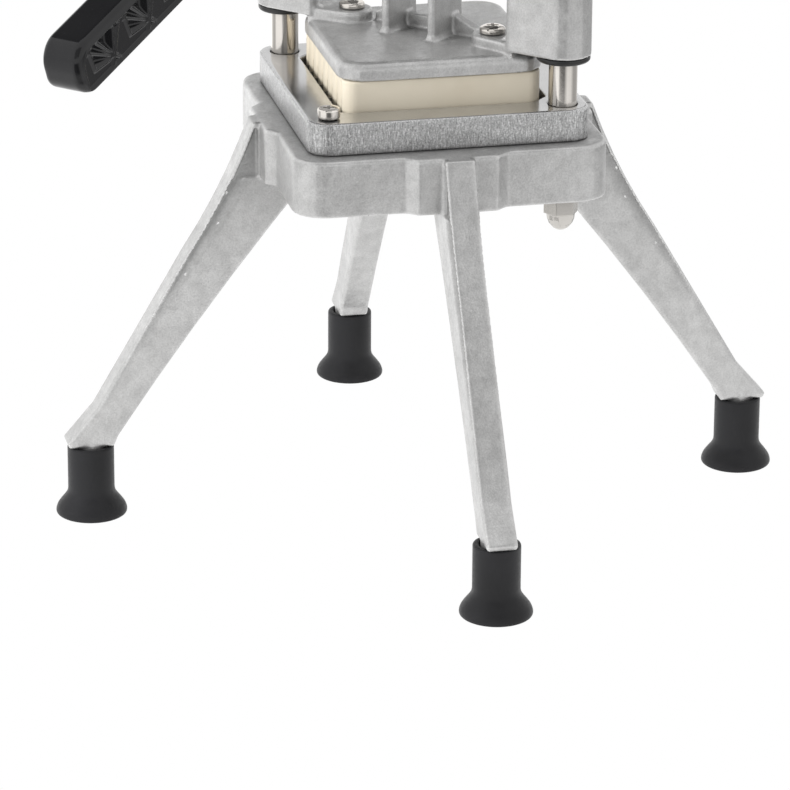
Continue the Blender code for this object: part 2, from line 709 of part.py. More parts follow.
def cap_nut_mesh():
    """A hexagon nut with a dome below and a blind hole from above."""
    low = NUT_TOP - CAP_NUT_HEX
    radius = CAP_NUT_FLATS / 2 - GAP
    nut = bmesh.new()
    add_prism(nut, hexagon(CAP_NUT_FLATS), low, NUT_TOP)
    shape = place_object("cap_nut_shape", finish_mesh("cap_nut_shape", nut), None)
    dome = [(0, low - CAP_NUT_DOME)]
    for k in range(1, CORNER_STEPS + 1):
        turn = k / CORNER_STEPS * pi / 2
        dome.append((radius * sin(turn), low - CAP_NUT_DOME * cos(turn)))
    dome.append((radius, low + WELD))
    lower = bmesh.new()
    add_lathe(lower, dome, SMALL_STEPS)
    modify(shape, "UNION", "cap_nut_dome", lower)
    bore = bmesh.new()
    roof = low - CAP_NUT_DOME + CAP_NUT_ROOF
    add_lathe(bore, ((STUD_RADIUS + GAP, roof), (STUD_RADIUS + GAP, NUT_TOP + OVERRUN)), ROUND_STEPS)
    modify(shape, "DIFFERENCE", "cap_nut_bore", bore)
    return evaluated_mesh("cap_nut", shape)


def evaluated_mesh(name, shape):
    """The mesh of an object with its Booleans done. The object and its tools are removed."""
    graph = bpy.context.evaluated_depsgraph_get()
    data = bpy.data.meshes.new_from_object(shape.evaluated_get(graph))
    data.name = name
    for tool in list(shape.children):
        bpy.data.objects.remove(tool)
    bpy.data.objects.remove(shape)
    data.shade_smooth()
    data.set_sharp_from_angle(angle=radians(35))
    return data


def pusher_block(parent, finish):
    """The nylon block, slotted from below so that it can pass between the blades."""
    block = bmesh.new()
    outline = corner_square(BLOCK_HALF, plain_corners(BLOCK_CORNER))
    add_prism(block, outline, BLOCK_BOTTOM, BLOCK_TOP)
    body = solid("pusher_block", block, finish, parent)
    slots = bmesh.new()
    reach = BLOCK_HALF + OVERRUN
    for y in blade_rows():
        sides = (y - SLOT_WIDTH / 2, y + SLOT_WIDTH / 2)
        box = [(-reach, sides[0]), (reach, sides[0]), (reach, sides[1]), (-reach, sides[1])]
        add_prism(slots, box, BLOCK_BOTTOM - OVERRUN, CUTTER_TOP + SLOT_OVER_CUTTER)
    modify(body, "DIFFERENCE", "block_slots", slots)
    holes = bmesh.new()
    place = BLOCK_SCREW_PLACE / sqrt(2)
    for x, y in ((-place, place), (place, -place)):
        hole = ((BLOCK_SCREW_RADIUS + GAP, BLOCK_TOP - BLOCK_SCREW_GRIP - GAP),
                (BLOCK_SCREW_RADIUS + GAP, BLOCK_TOP + OVERRUN))
        add_lathe(holes, hole, SMALL_STEPS, at(x, y))
    modify(body, "DIFFERENCE", "block_holes", holes)


def head_casting(parent, finish):
    """The pusher head: plate, two rod sleeves, two ears for the handle, and what joins them."""
    plate = bmesh.new()
    outline = corner_square(PLATE_HALF, plain_corners(PLATE_CORNER))
    add_loops(plate, layers(outline, rounded_levels(PLATE_BOTTOM, PLATE_TOP, PLATE_ROUND, 3)), SQUARE)
    head = solid("head_casting", plate, finish, parent)
    modify(head, "UNION", "sleeve_bodies", sleeve_bodies())
    modify(head, "UNION", "tongues", tongues())
    modify(head, "UNION", "ears", ears())
    modify(head, "UNION", "cross_rib", cross_rib())
    modify(head, "UNION", "gussets", gussets())
    modify(head, "UNION", "bridges", bridges())
    modify(head, "UNION", "base_fillets", base_fillets())
    modify(head, "DIFFERENCE", "head_bores", head_bores())
    modify(head, "DIFFERENCE", "bolt_holes", bolt_holes())


def sleeve_bodies():
    """Two sleeves: half round outside, running flat to an inner face, with a domed top."""
    outline = arc((0, 0), SLEEVE_RADIUS, 0, pi, 2 * CORNER_STEPS)
    for side in (-1, 1):
        start = -pi / 2 if side > 0 else pi
        centre = (side * (SLEEVE_RADIUS - SLAB_CORNER), SLAB_CORNER - SLAB_INNER)
        outline += arc(centre, SLAB_CORNER, start, start + pi / 2, 2)
    mesh = bmesh.new()
    levels = rounded_levels(SLEEVE_BOTTOM, SLEEVE_TOP, SLEEVE_ROUND, 3)
    for turn in (0, pi):
        place = Matrix.Rotation(turn, 4, "Z") @ at(0, ROD_PLACE)
        add_loops(mesh, layers(outline, levels), place)
    return mesh


def tongues():
    """Low bosses that run in from the sleeves and end round the block screws."""
    outline = arc((0, BLOCK_SCREW_PLACE), TONGUE_HALF, pi, 2 * pi, 2 * CORNER_STEPS)
    root = (SLEEVE_RADIUS - TONGUE_ROUND, SLAB_FACE + SLAB_CORNER + WELD)
    outline += [root, (-root[0], root[1])]
    mesh = bmesh.new()
    levels = ((0, PLATE_TOP - WELD), (0, TONGUE_TOP - TONGUE_ROUND), (TONGUE_ROUND, TONGUE_TOP))
    for turn in (0, pi):
        add_loops(mesh, layers(outline, levels), Matrix.Rotation(turn, 4, "Z"))
    return mesh


def ears():
    """Two upright ears that flare at the foot and widen to hold the two handle bolts."""
    middle = (EAR_INNER + EAR_OUTER) / 2
    half = EAR_THICK / 2
    flare_start = EAR_TOP - HANDLE_DEPTH - EAR_FLARE
    levels = (
        (PLATE_TOP - WELD, EAR_HALF + EAR_FOOT, half + EAR_FOOT),
        (PLATE_TOP + EAR_FOOT / 4, EAR_HALF + EAR_FOOT / 3, half + EAR_FOOT / 3),
        (PLATE_TOP + EAR_FOOT, EAR_HALF, half),
        (flare_start, EAR_HALF, half),
        (EAR_TOP - HANDLE_DEPTH, EAR_TOP_HALF, half),
        (EAR_TOP - EAR_HEAD, EAR_TOP_HALF, half),
        (EAR_TOP, EAR_TOP_HALF - EAR_HEAD, half),
    )
    mesh = bmesh.new()
    for turn in (0, pi):
        place = Matrix.Rotation(turn, 4, "Z") @ at(0, middle)
        loops = [[(x, y, z) for x, y in rounded_box(wide, thick, EAR_ROUND)] for z, wide, thick in levels]
        add_loops(mesh, loops, place)
    return mesh


def cross_rib():
    """The low rib that ties the feet of the ears together."""
    mesh = bmesh.new()
    reach = EAR_INNER + EAR_THICK / 2
    rib = [(-reach, PLATE_TOP - WELD), (reach, PLATE_TOP - WELD),
           (reach, PLATE_TOP + RIB_HEIGHT), (-reach, PLATE_TOP + RIB_HEIGHT)]
    add_prism(mesh, rib, RIB_START, RIB_START + RIB_THICK, SIDEWAYS)
    return mesh


def gussets():
    """A sloping rib outside each ear."""
    mesh = bmesh.new()
    near = EAR_OUTER - EAR_THICK / 2
    far = EAR_OUTER + GUSSET_LENGTH
    low = PLATE_TOP - WELD
    for side in (-1, 1):
        rib = [(near, low), (far, low), (far, PLATE_TOP + GUSSET_TOE), (EAR_OUTER, PLATE_TOP + GUSSET_HEIGHT),
               (near, PLATE_TOP + GUSSET_HEIGHT)]
        add_prism(mesh, [(side * y, z) for y, z in rib][::side], RIB_START, RIB_START + RIB_THICK, SIDEWAYS)
    return mesh


def bridges():
    """Arched webs that tie the top of each ear to its sleeve."""
    mesh = bmesh.new()
    near = EAR_OUTER - EAR_THICK / 2
    far = SLAB_FACE + SLAB_CORNER + WELD
    top = EAR_TOP - EAR_HEAD
    low = top - BRIDGE_DEPTH
    under = bowed((far, low - BRIDGE_ARCH / 2), (near, low - BRIDGE_ARCH / 2), -BRIDGE_ARCH, 2 * CORNER_STEPS)
    for side in (-1, 1):
        web = [(near, top)] + [(far, top)] + under
        add_prism(mesh, [(side * y, z) for y, z in web][::-side], -BRIDGE_HALF, BRIDGE_HALF, SIDEWAYS)
    return mesh


def base_fillets():
    """Hollow fillets between the inner face of each sleeve and the tongue."""
    mesh = bmesh.new()
    corner = (SLAB_FACE - BASE_FILLET, TONGUE_TOP + BASE_FILLET)
    far = SLAB_FACE + SLAB_CORNER
    low = TONGUE_TOP - TONGUE_HEIGHT / 2
    curve = arc(corner, BASE_FILLET, -pi / 2, 0, FILLET_STEPS)
    half = TONGUE_HALF - TONGUE_ROUND
    for side in (-1, 1):
        web = [(curve[0][0], low), (far, low), (far, curve[-1][1])] + curve[::-1]
        add_prism(mesh, [(side * y, z) for y, z in web][::side], -half, half, SIDEWAYS)
    return mesh


def head_bores():
    """The blind bore of each sleeve, stepped in above the upper bushing, and the screw holes."""
    mesh = bmesh.new()
    wide = BUSH_RADIUS + GAP
    slim = wide - BORE_STEP
    shoulder = BUSH_TOP + GAP
    for side in (-1, 1):
        bore = ((wide, SLEEVE_BOTTOM - OVERRUN), (wide, shoulder), (slim, shoulder), (slim, BORE_TOP))
        add_lathe(mesh, bore, ROUND_STEPS, at(0, side * ROD_PLACE))
        hole = ((BLOCK_SCREW_RADIUS + GAP, PLATE_BOTTOM - OVERRUN),
                (BLOCK_SCREW_RADIUS + GAP, TONGUE_TOP + OVERRUN))
        add_lathe(mesh, hole, SMALL_STEPS, at(0, side * BLOCK_SCREW_PLACE))
    return mesh


def bolt_holes():
    mesh = bmesh.new()
    reach = EAR_OUTER + OVERRUN
    for side in (-1, 1):
        hole = ((BOLT_RADIUS + GAP, -reach), (BOLT_RADIUS + GAP, reach))
        add_lathe(mesh, hole, SMALL_STEPS, at(side * BOLT_HALF_SPACING, 0, BOLT_HEIGHT) @ UPRIGHT)
    return mesh


def bushings(parent, finish):
    """A flanged bushing in the mouth of each sleeve and a plain one against the shoulder above."""
    bore = ROD_RADIUS + GAP
    flange_top = SLEEVE_BOTTOM - GAP
    lower = bmesh.new()
    add_lathe(lower, ((bore, flange_top - BUSH_FLANGE), (BUSH_FLANGE_RADIUS, flange_top - BUSH_FLANGE),
                      (BUSH_FLANGE_RADIUS, flange_top), (BUSH_RADIUS, flange_top),
                      (BUSH_RADIUS, flange_top + BUSH_LENGTH), (bore, flange_top + BUSH_LENGTH)),
              ROUND_STEPS, hollow=True)
    upper = bmesh.new()
    add_lathe(upper, ((bore, BUSH_TOP - BUSH_LENGTH), (BUSH_RADIUS, BUSH_TOP - BUSH_LENGTH),
                      (BUSH_RADIUS, BUSH_TOP), (bore, BUSH_TOP)), ROUND_STEPS, hollow=True)
    bumper = bmesh.new()
    top = BUMPER_BOTTOM + BUMPER_THICK
    add_lathe(bumper, ((0, BUMPER_BOTTOM), (BUMPER_RADIUS, BUMPER_BOTTOM), (BUMPER_RADIUS, top - BUMPER_EDGE),
                       (BUMPER_RADIUS - BUMPER_EDGE, top), (0, top)), SMALL_STEPS)
    for name, mesh in (("lower_bushing", lower), ("upper_bushing", upper), ("rod_bumper", bumper)):
        data = finish_mesh(name, mesh)
        for end, side in (("rear", 1), ("front", -1)):
            place_object(f"{name}_{end}", data, finish, parent, (0, side * ROD_PLACE, 0))


def block_screws(parent, finish):
    """Pan-head screws down through the tongues into the block."""
    head = BLOCK_SCREW_HEAD_HEIGHT
    tip = BLOCK_TOP - BLOCK_SCREW_GRIP - TONGUE_TOP - GAP
    profile = [(0, tip), (BLOCK_SCREW_RADIUS, tip), (BLOCK_SCREW_RADIUS, 0), (BLOCK_SCREW_HEAD, 0)]
    for k in range(FILLET_STEPS):
        turn = k / FILLET_STEPS * pi / 2
        profile.append((BLOCK_SCREW_HEAD * cos(turn), head * (1 + sin(turn)) / 2))
    profile.append((0, head))
    mesh = bmesh.new()
    add_lathe(mesh, profile, SMALL_STEPS)
    data = finish_mesh("block_screw", mesh)
    for end, side in (("rear", 1), ("front", -1)):
        place_object(f"block_screw_{end}", data, finish, parent, (0, side * BLOCK_SCREW_PLACE, TONGUE_TOP + GAP))


def handle_point(along, up):
    """A point of the handle's side view, from its distance along the underside and above it."""
    side = -1 if along < 0 else 1
    bend_end = HANDLE_ARC * HANDLE_DROOP
    turn = min(abs(along) / HANDLE_ARC, HANDLE_DROOP)
    x = (HANDLE_ARC + up) * sin(turn)
    z = HANDLE_UNDER - HANDLE_ARC + (HANDLE_ARC + up) * cos(turn)
    straight = max(abs(along) - bend_end, 0)
    return side * (x + straight * cos(HANDLE_DROOP)), z - straight * sin(HANDLE_DROOP)


def handle_outline():
    """The handle's side view, anticlockwise: underside, right tip, top and left tip."""
    reach = HANDLE_LENGTH
    bend = HANDLE_ARC * HANDLE_DROOP
    low = [-bend + 2 * bend * k / ARC_STEPS for k in range(ARC_STEPS + 1)]
    tip = arc((reach - TIP_LOWER_ROUND, TIP_LOWER_ROUND), TIP_LOWER_ROUND, -pi / 2, 0, CORNER_STEPS)
    tip += arc((reach - TIP_UPPER_ROUND, HANDLE_DEPTH - TIP_UPPER_ROUND), TIP_UPPER_ROUND, 0, pi / 2,
               CORNER_STEPS)
    points = [(along, 0) for along in low] + tip
    points += [(along, HANDLE_DEPTH) for along in low[::-1]]
    points += [(-along, up) for along, up in tip[::-1]]
    return [handle_point(along, up) for along, up in points]


def handle_edge_shares():
    """How round the edge is at each outline point, as a share of the upper edge's radius."""
    lower = [HANDLE_LOWER_EDGE_SHARE] * (ARC_STEPS + 1)
    tip = [HANDLE_LOWER_EDGE_SHARE + (1 - HANDLE_LOWER_EDGE_SHARE) * min(k / CORNER_STEPS, 1)
           for k in range(2 * CORNER_STEPS + 2)]
    return lower + tip + [1.0] * (ARC_STEPS + 1) + tip[::-1]


def fan_pockets():
    """Fans of three-cornered pockets in both sides of both wings."""
    mesh = bmesh.new()
    count = int((HANDLE_LENGTH - FAN_FROM_TIP - FAN_STOP) / FAN_PITCH) + 1
    floor = HANDLE_HALF - FAN_DEPTH
    for k in range(count):
        hub = HANDLE_LENGTH - FAN_FROM_TIP - k * FAN_PITCH
        for along_shares, up_shares in zip(FAN_PITCH_SHARES, FAN_HEIGHT_SHARES):
            corners = [(hub + a * FAN_PITCH, FAN_FOOT + u * FAN_HEIGHT)
                       for a, u in zip(along_shares, up_shares)]
            for wing in (-1, 1):
                triangle = [handle_point(wing * along, up) for along, up in corners]
                for low in (-HANDLE_HALF - OVERRUN, floor):
                    add_prism(mesh, triangle, low, low + FAN_DEPTH + OVERRUN, UPRIGHT)
    return mesh


def handle(parent, finish):
    """The moulded handle: edges round above and crisper below, ribbed wings, a plain hub."""
    outline = handle_outline()
    shares = handle_edge_shares()
    inner = offset(outline, HANDLE_EDGE)
    loops = []
    for k in range(4):
        turn = k / 3 * pi / 2
        level = HANDLE_HALF - HANDLE_EDGE * (1 - cos(turn))
        loop = []
        for (x, z), (near_x, near_z), share in zip(outline, inner, shares):
            move = share * (1 - sin(turn))
            loop.append((x + (near_x - x) * move, z + (near_z - z) * move, level))
        loops.append(loop)
    loops = loops + [[(x, z, -level) for x, z, level in loop] for loop in loops[::-1]]
    body = bmesh.new()
    add_loops(body, loops[::-1], UPRIGHT)
    shape = solid("handle", body, finish, parent)
    modify(shape, "DIFFERENCE", "fan_pockets", fan_pockets())
    modify(shape, "DIFFERENCE", "handle_holes", bolt_holes())


def handle_bolts(parent, finish):
    """Two bolts through the ears and the handle, each with a nut."""
    end = EAR_OUTER + GAP + BOLT_NUT_HEIGHT + BOLT_END
    face = EAR_OUTER + GAP
    bolt = bmesh.new()
    add_lathe(bolt, ((0, -end), (BOLT_RADIUS, -end), (BOLT_RADIUS, face), (BOLT_HEAD, face),
                     (BOLT_HEAD, face + BOLT_HEAD_HEIGHT - SCREW_EDGE),
                     (BOLT_HEAD - SCREW_EDGE, face + BOLT_HEAD_HEIGHT), (0, face + BOLT_HEAD_HEIGHT)),
              SMALL_STEPS, UPRIGHT)
    bolt_data = finish_mesh("handle_bolt", bolt)
    nut = bmesh.new()
    add_prism(nut, hexagon(BOLT_NUT_FLATS), -face - BOLT_NUT_HEIGHT, -face, UPRIGHT)
    shape = place_object("handle_nut_shape", finish_mesh("handle_nut_shape", nut), None)
    bore = bmesh.new()
    wall = BOLT_RADIUS + GAP
    add_lathe(bore, ((wall, -face - BOLT_NUT_HEIGHT - OVERRUN), (wall, OVERRUN - face)), SMALL_STEPS, UPRIGHT)
    modify(shape, "DIFFERENCE", "handle_nut_bore", bore)
    nut_data = evaluated_mesh("handle_nut", shape)
    for side, sign in (("left", -1), ("right", 1)):
        spot = (sign * BOLT_HALF_SPACING, 0, BOLT_HEIGHT)
        place_object(f"handle_bolt_{side}", bolt_data, finish, parent, spot)
        place_object(f"handle_nut_{side}", nut_data, finish, parent, spot)


def build():
    """Remove what is in the scene and build the slicer."""
    for old in list(bpy.data.objects):
        bpy.data.objects.remove(old)
    cast = material("cast aluminium", (0.60, 0.60, 0.58), 0.45, 1.0)
    machined = material("machined aluminium", (0.66, 0.66, 0.65), 0.30, 1.0)
    steel = material("blade steel", (0.62, 0.63, 0.64), 0.22, 1.0)
    chrome = material("chrome", (0.72, 0.72, 0.72), 0.08, 1.0)
    rubber = material("black rubber", (0.02, 0.02, 0.022), 0.65, 0.0)
    nylon = material("cream nylon", (0.62, 0.57, 0.46), 0.50, 0.0)
    moulding = material("black moulding", (0.018, 0.018, 0.02), 0.22, 0.0)
    bearing = material("black bearing plastic", (0.03, 0.03, 0.03), 0.45, 0.0)

    square = axes_empty("square_axes", -pi / 4)
    base_casting(square, cast)
    feet(square, rubber)
    cutter_frame(square, machined)
    blades(square, steel)
    blade_pins(square, steel)
    cutter_screws(square, chrome)
    guide_rods(square, chrome, chrome)

    head = axes_empty("head_axis")
    head_square = axes_empty("head_square_axes", -pi / 4, head)
    head_casting(head, cast)
    pusher_block(head_square, nylon)
    bushings(head, bearing)
    block_screws(head, chrome)
    handle(head, moulding)
    handle_bolts(head, chrome)


build()
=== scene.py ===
"""Looks for the push-down potato slicer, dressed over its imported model. Lengths are in metres."""
import json
from math import atan2, cos, pi, radians, sin, sqrt

import bmesh
import bpy
import numpy as np
from mathutils import Matrix, Vector


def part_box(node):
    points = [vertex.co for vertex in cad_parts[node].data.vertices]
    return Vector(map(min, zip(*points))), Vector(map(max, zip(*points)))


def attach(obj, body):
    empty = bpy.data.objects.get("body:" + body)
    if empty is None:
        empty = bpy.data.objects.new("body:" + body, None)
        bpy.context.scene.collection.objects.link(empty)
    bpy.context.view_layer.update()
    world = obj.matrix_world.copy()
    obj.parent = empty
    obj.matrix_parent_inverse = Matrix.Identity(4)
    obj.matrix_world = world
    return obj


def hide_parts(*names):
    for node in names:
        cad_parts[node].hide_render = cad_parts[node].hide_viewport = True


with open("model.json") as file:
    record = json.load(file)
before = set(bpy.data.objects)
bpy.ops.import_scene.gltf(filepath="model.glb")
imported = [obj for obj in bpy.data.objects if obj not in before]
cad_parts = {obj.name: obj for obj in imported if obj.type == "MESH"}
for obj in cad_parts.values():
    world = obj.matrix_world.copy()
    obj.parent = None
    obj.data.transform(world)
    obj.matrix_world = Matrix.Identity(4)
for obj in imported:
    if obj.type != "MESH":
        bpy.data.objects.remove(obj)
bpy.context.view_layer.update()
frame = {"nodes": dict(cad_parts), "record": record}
NODES = frame["nodes"]
SHARP = radians(32)
JOIN = 0.000001
# the attribute that holds how deep each point of a leg's hollow lies, used for the painted shade there
HOLLOW_SHADE = "hollow"

# Sizes shared with the part's source
GAP = 0.0003
ROD_RADIUS = 0.00635
ROD_SEAT = 0.0080
RING_GROOVE = 0.0011
STUD_RADIUS = 0.0046
BUSH_RADIUS = 0.00825
BUSH_FLANGE = 0.0025
BLOCK_HALF = 0.04445
BLADE_PITCH = 0.0103
BLOCK_SCREW_RADIUS = 0.0024
BLOCK_SCREW_HEAD_HEIGHT = 0.0034
CUTTER_SCREW_RADIUS = 0.0025
CUTTER_SCREW_HEAD_HEIGHT = 0.0048
PAD_FACE = 0.0750
LEG_WIDTH = 0.0140
LEG_END = 0.0332
LEG_ANKLE_RISE = 0.0180
RECESS_LAND = 0.0015
RECESS_DEPTH = 0.0016
FOOT_RADIUS = 0.01055
FOOT_HEIGHT = 0.0329
FOOT_FLOOR = 0.0080
HANDLE_HALF = 0.0095
HANDLE_DEPTH = 0.0233
HANDLE_UNDER = 0.3285
HANDLE_ARC = 0.3780
HANDLE_DROOP = radians(20.1)
HANDLE_LENGTH = 0.2780
HANDLE_EDGE = 0.0036
HANDLE_LOWER_EDGE_SHARE = 0.3
TIP_LOWER_ROUND = 0.0085
TIP_UPPER_ROUND = 0.0110
FAN_PITCH = 0.0260
FAN_FROM_TIP = 0.0240
FAN_FOOT = 0.0062
FAN_HEIGHT = 0.0135
FAN_STOP = 0.0400
HUB_HALF = 0.0230
FAN_PITCH_SHARES = ((-0.03, -0.24, -0.17), (0.02, -0.09, 0.29), (0.08, 0.40, 0.50), (0.11, 0.50, 0.47))
FAN_HEIGHT_SHARES = ((0.13, 0.84, 0.89), (0.17, 0.95, 0.95), (0.17, 0.94, 0.78), (0.09, 0.62, 0.19))

# Cell size and smoothing passes of the pieces that are cut into cells to soften their edges
BASE_CELLS = (0.0006, 5)
HEAD_CELLS = (0.0006, 5)
FRAME_CELLS = (0.0005, 3)
BLOCK_CELLS = (0.00045, 3)
HANDLE_CELLS = (0.00045, 6)
NUT_CELLS = (0.00022, 4)

# The fade of the hollow below each leg's outer edge, which starts at HOLLOW_TOP under the ring's top
HOLLOW_TOP = 0.0262
FADE_WIDTH = 0.0100
FADE_END = 0.05
FADE_FULL = 0.65
FADE_LEAST = 0.01
FADE_PASSES = 5
BAND_EDGE = 0.0003
SKIN_REACH = 0.0005
LEG_LEAN = 0.88
LEVEL_STEP = 0.0010
LEVEL_BLUR = 7

# The flutes on the slotted sides of the block
FLUTE_HALF = 0.0016
FLUTE_DEPTH = 0.0011
FLUTE_MARGIN = 0.0060
FLUTE_SKIN = 0.0004
FLUTE_TOP = (0.0006, 0.0030)

# The moulded relief on the handle's sides
RIM_LOWER = 0.0020
RIM_UPPER = 0.0042
RIM_TIP = 0.0045
RIM_RISE = 0.0005
RIM_HALF = 0.0007
PANEL_ROUND = 0.0080
PANEL_DEPTH = 0.0009
PANEL_SLOPE = (-0.0006, 0.0009)
POCKET_DEPTH = 0.0020
POCKET_SLOPE = (-0.0004, 0.0022)
RIB_RISE = 0.0007
RIB_HALF = 0.0008
RELIEF_SLOPE = 0.0012
RELIEF_SKIN = 0.0004
BEND_STEPS = 48
TIP_STEPS = 12
EDGE_STEPS = 16

# Turned and rounded details
TURN_STEPS = 96
FOOT_BORE = 0.0075
FOOT_PROFILE = (
    (0, 0.0016), (0.0118, 0.0012), (0.0126, 0), (0.0152, 0), (0.01605, 0.0006), (0.01615, 0.0018),
    (0.0155, 0.0038), (0.0139, 0.0060), (0.0121, 0.0082), (0.01095, 0.0100), (FOOT_RADIUS, 0.0120),
    (FOOT_RADIUS, FOOT_HEIGHT), (0.0076, FOOT_HEIGHT), (FOOT_BORE, 0.0300), (FOOT_BORE, FOOT_FLOOR),
    (0, FOOT_FLOOR),
)
FOOT_ROUND = 0.0011
ROD_ROUND = 0.0006
WASHER_ROUND = 0.0003
BUSH_ROUND = 0.0004
BUSH_BULGE = 0.0006
BUSH_BULGE_FOOT = 0.0008
PAN_ROUND = 0.0003
PAN_WALL_SHARE = 0.45
PAN_CROWN = 0.8
PAN_STEPS = 6
PAN_CROSS = (0.0030, 0.0020)
CHEESE_ROUND = 0.0011
CHEESE_CROSS = (0.0027, 0.0018)
CROSS_TURN = radians(35)
CROSS_WING_SHARE = 0.26
CROSS_TAPER_SHARES = (0.55, 1.25)

# Noises of the finishes: scale, detail and roughness, or the last two where a finish gives its scale
CAST_CLOUDS = (26, 4, 0.65)
CAST_BLOTCHES = (140, 3, 0.6)
CAST_GRAIN = (1300, 2, 0.6)
CAST_PITS = (420, 2, 0.5)
MILL_LINES = (1700, 3, 0.7)
MILL_GRIT = (1300, 3, 0.7)
MILL_CLOUDS = (36, 3, 0.6)
STEEL_HAZE = (60, 3, 0.5)
SKIN_CLOUDS = (30, 3, 0.5)
SKIN_GRAIN = (3, 0.5)
TURNED_LINES = (2, 0.5)
NOISE_SPAN = (0.3, 0.7)

# Tones of the finishes by noise, with painted shade, painted highlights, and painted corner shade by how
# open a corner is
CAST_TONES = ((0.35, (0.535, 0.533, 0.528)), (0.65, (0.605, 0.603, 0.598)))
CAST_BLOTCH_TONES = ((0.3, 0.86), (0.7, 1.06))
CAST_GRAIN_TONES = ((0.3, 0.86), (0.65, 1.05))
# painted shade in the legs' hollows: its colour and how strongly it is laid on
CAST_HOLLOW_SHADE = (0.17, 0.17, 0.168)
CAST_HOLLOW_SHADE_SHARE = 0.48
# painted highlight on the edges: its colour and the pointiness over which it comes in
CAST_EDGE_HIGHLIGHT = (0.88, 0.88, 0.87)
CAST_EDGE_RANGE = (0.514, 0.605)
MILL_SIDE_TONES = ((0.38, 0.28), (0.5, 0.48), (0.62, 0.80))
MILL_TOP_TONES = ((0.3, 0.50), (0.7, 0.62))
HAZE_TONES = ((0.3, 0.93), (0.7, 1.0))
# the span of the painted corner shade, from shut corners to open ones
CORNER_SHADE_SPAN = (0.35, 0.8)

# Depth and darkness of the painted shade in corners
CAST_CORNER_SHADE = (0.007, 0.72)
MILL_CORNER_SHADE = (0.008, 0.70)
STEEL_CORNER_SHADE = (0.016, 0.50)

# Roughness, from the noise's low end to its high end, and of rubbed edges
CAST_ROUGH = (0.28, 0.44)
CAST_EDGE_ROUGH = 0.24
MILL_SIDE_ROUGH = (0.26, 0.46)
MILL_TOP_ROUGH = (0.11, 0.20)

# Bumps: strength and depth, but for milled metal its strengths on the sides and on top
PIT_BUMP = (0.22, 0.0006)
GRAIN_BUMP = (0.30, 0.0003)
STEEL_BUMP = (0.05, 0.0002)
MILL_BUMP = (0.35, 0.06)
MILL_BUMP_DEPTH = 0.0004
SKIN_BUMP_DEPTH = 0.0004

# How metallic the finishes are, how their noise is stretched, and which way up counts as a top
CAST_METALLIC = 0.72
MILL_METALLIC = 0.92
UPRIGHT_STRETCH = (1, 1, 0.16)
TURNED_STRETCH = (1, 1, 14)
MILL_TOP_FACING = (0.6, 0.9)

# The disc that only reflections see: its tones by degrees round from the camera, and its light middle
SURROUND_RADIUS = 3.0
SURROUND_STEPS = 64
SURROUND_NEAR = (0.40, 0.54)
SURROUND_NEAR_TONE = (1.15, 1.15, 1.15)
SURROUND_TURN = atan2(-1.0887, -1.7379)
SURROUND_TONES = (
    (-180, 1.4), (-135, 1.4), (-112, 0.6), (-90, 0.50), (-78, 1.05), (-30, 1.05), (-20, 0.25),
    (-8, 0.13), (14, 0.13), (26, 0.55), (38, 0.85), (64, 0.80), (85, 0.40), (115, 0.40), (150, 0.7),
    (180, 1.4),
)

# Grey cards that only reflections see: name, place, half sizes and tone
FLAGS = (
    ("flag_over_camera", (-2.2, -1.4, 2.0), (1.7, 1.1), 0.40),
    ("flag_overhead", (1.0, 1.3, 2.3), (1.3, 1.3), 0.15),
)

# Lights: name, place, height aimed at, size and power
LIGHTS = (
    ("key", (-1.5, 1.1, 0.9), 0.15, (1.0, 1.0), 40),
    ("fill", (-0.9, -1.9, 0.8), 0.20, (1.2, 0.9), 9),
    ("back", (1.4, 0.6, 1.4), 0.20, (1.0, 0.8), 5),
)
SKY_SOFT = 0.5
FLOOR_HALF = 6
FLOOR_DROP = 0.0002
FLOOR_TONE = (0.86, 0.86, 0.86, 1)
FLOOR_ROUGH = 0.9

# The photograph's viewpoint
CAMERA_PLACE = (-1.7379, -1.0887, 0.8189)
CAMERA_LOOK = (0.7902, 0.5009, -0.3532)
CAMERA_ROLL = radians(0.33)
CAMERA_LENS = 217.7
CAMERA_SENSOR = 36.0
CAMERA_REACH = 50


# Materials

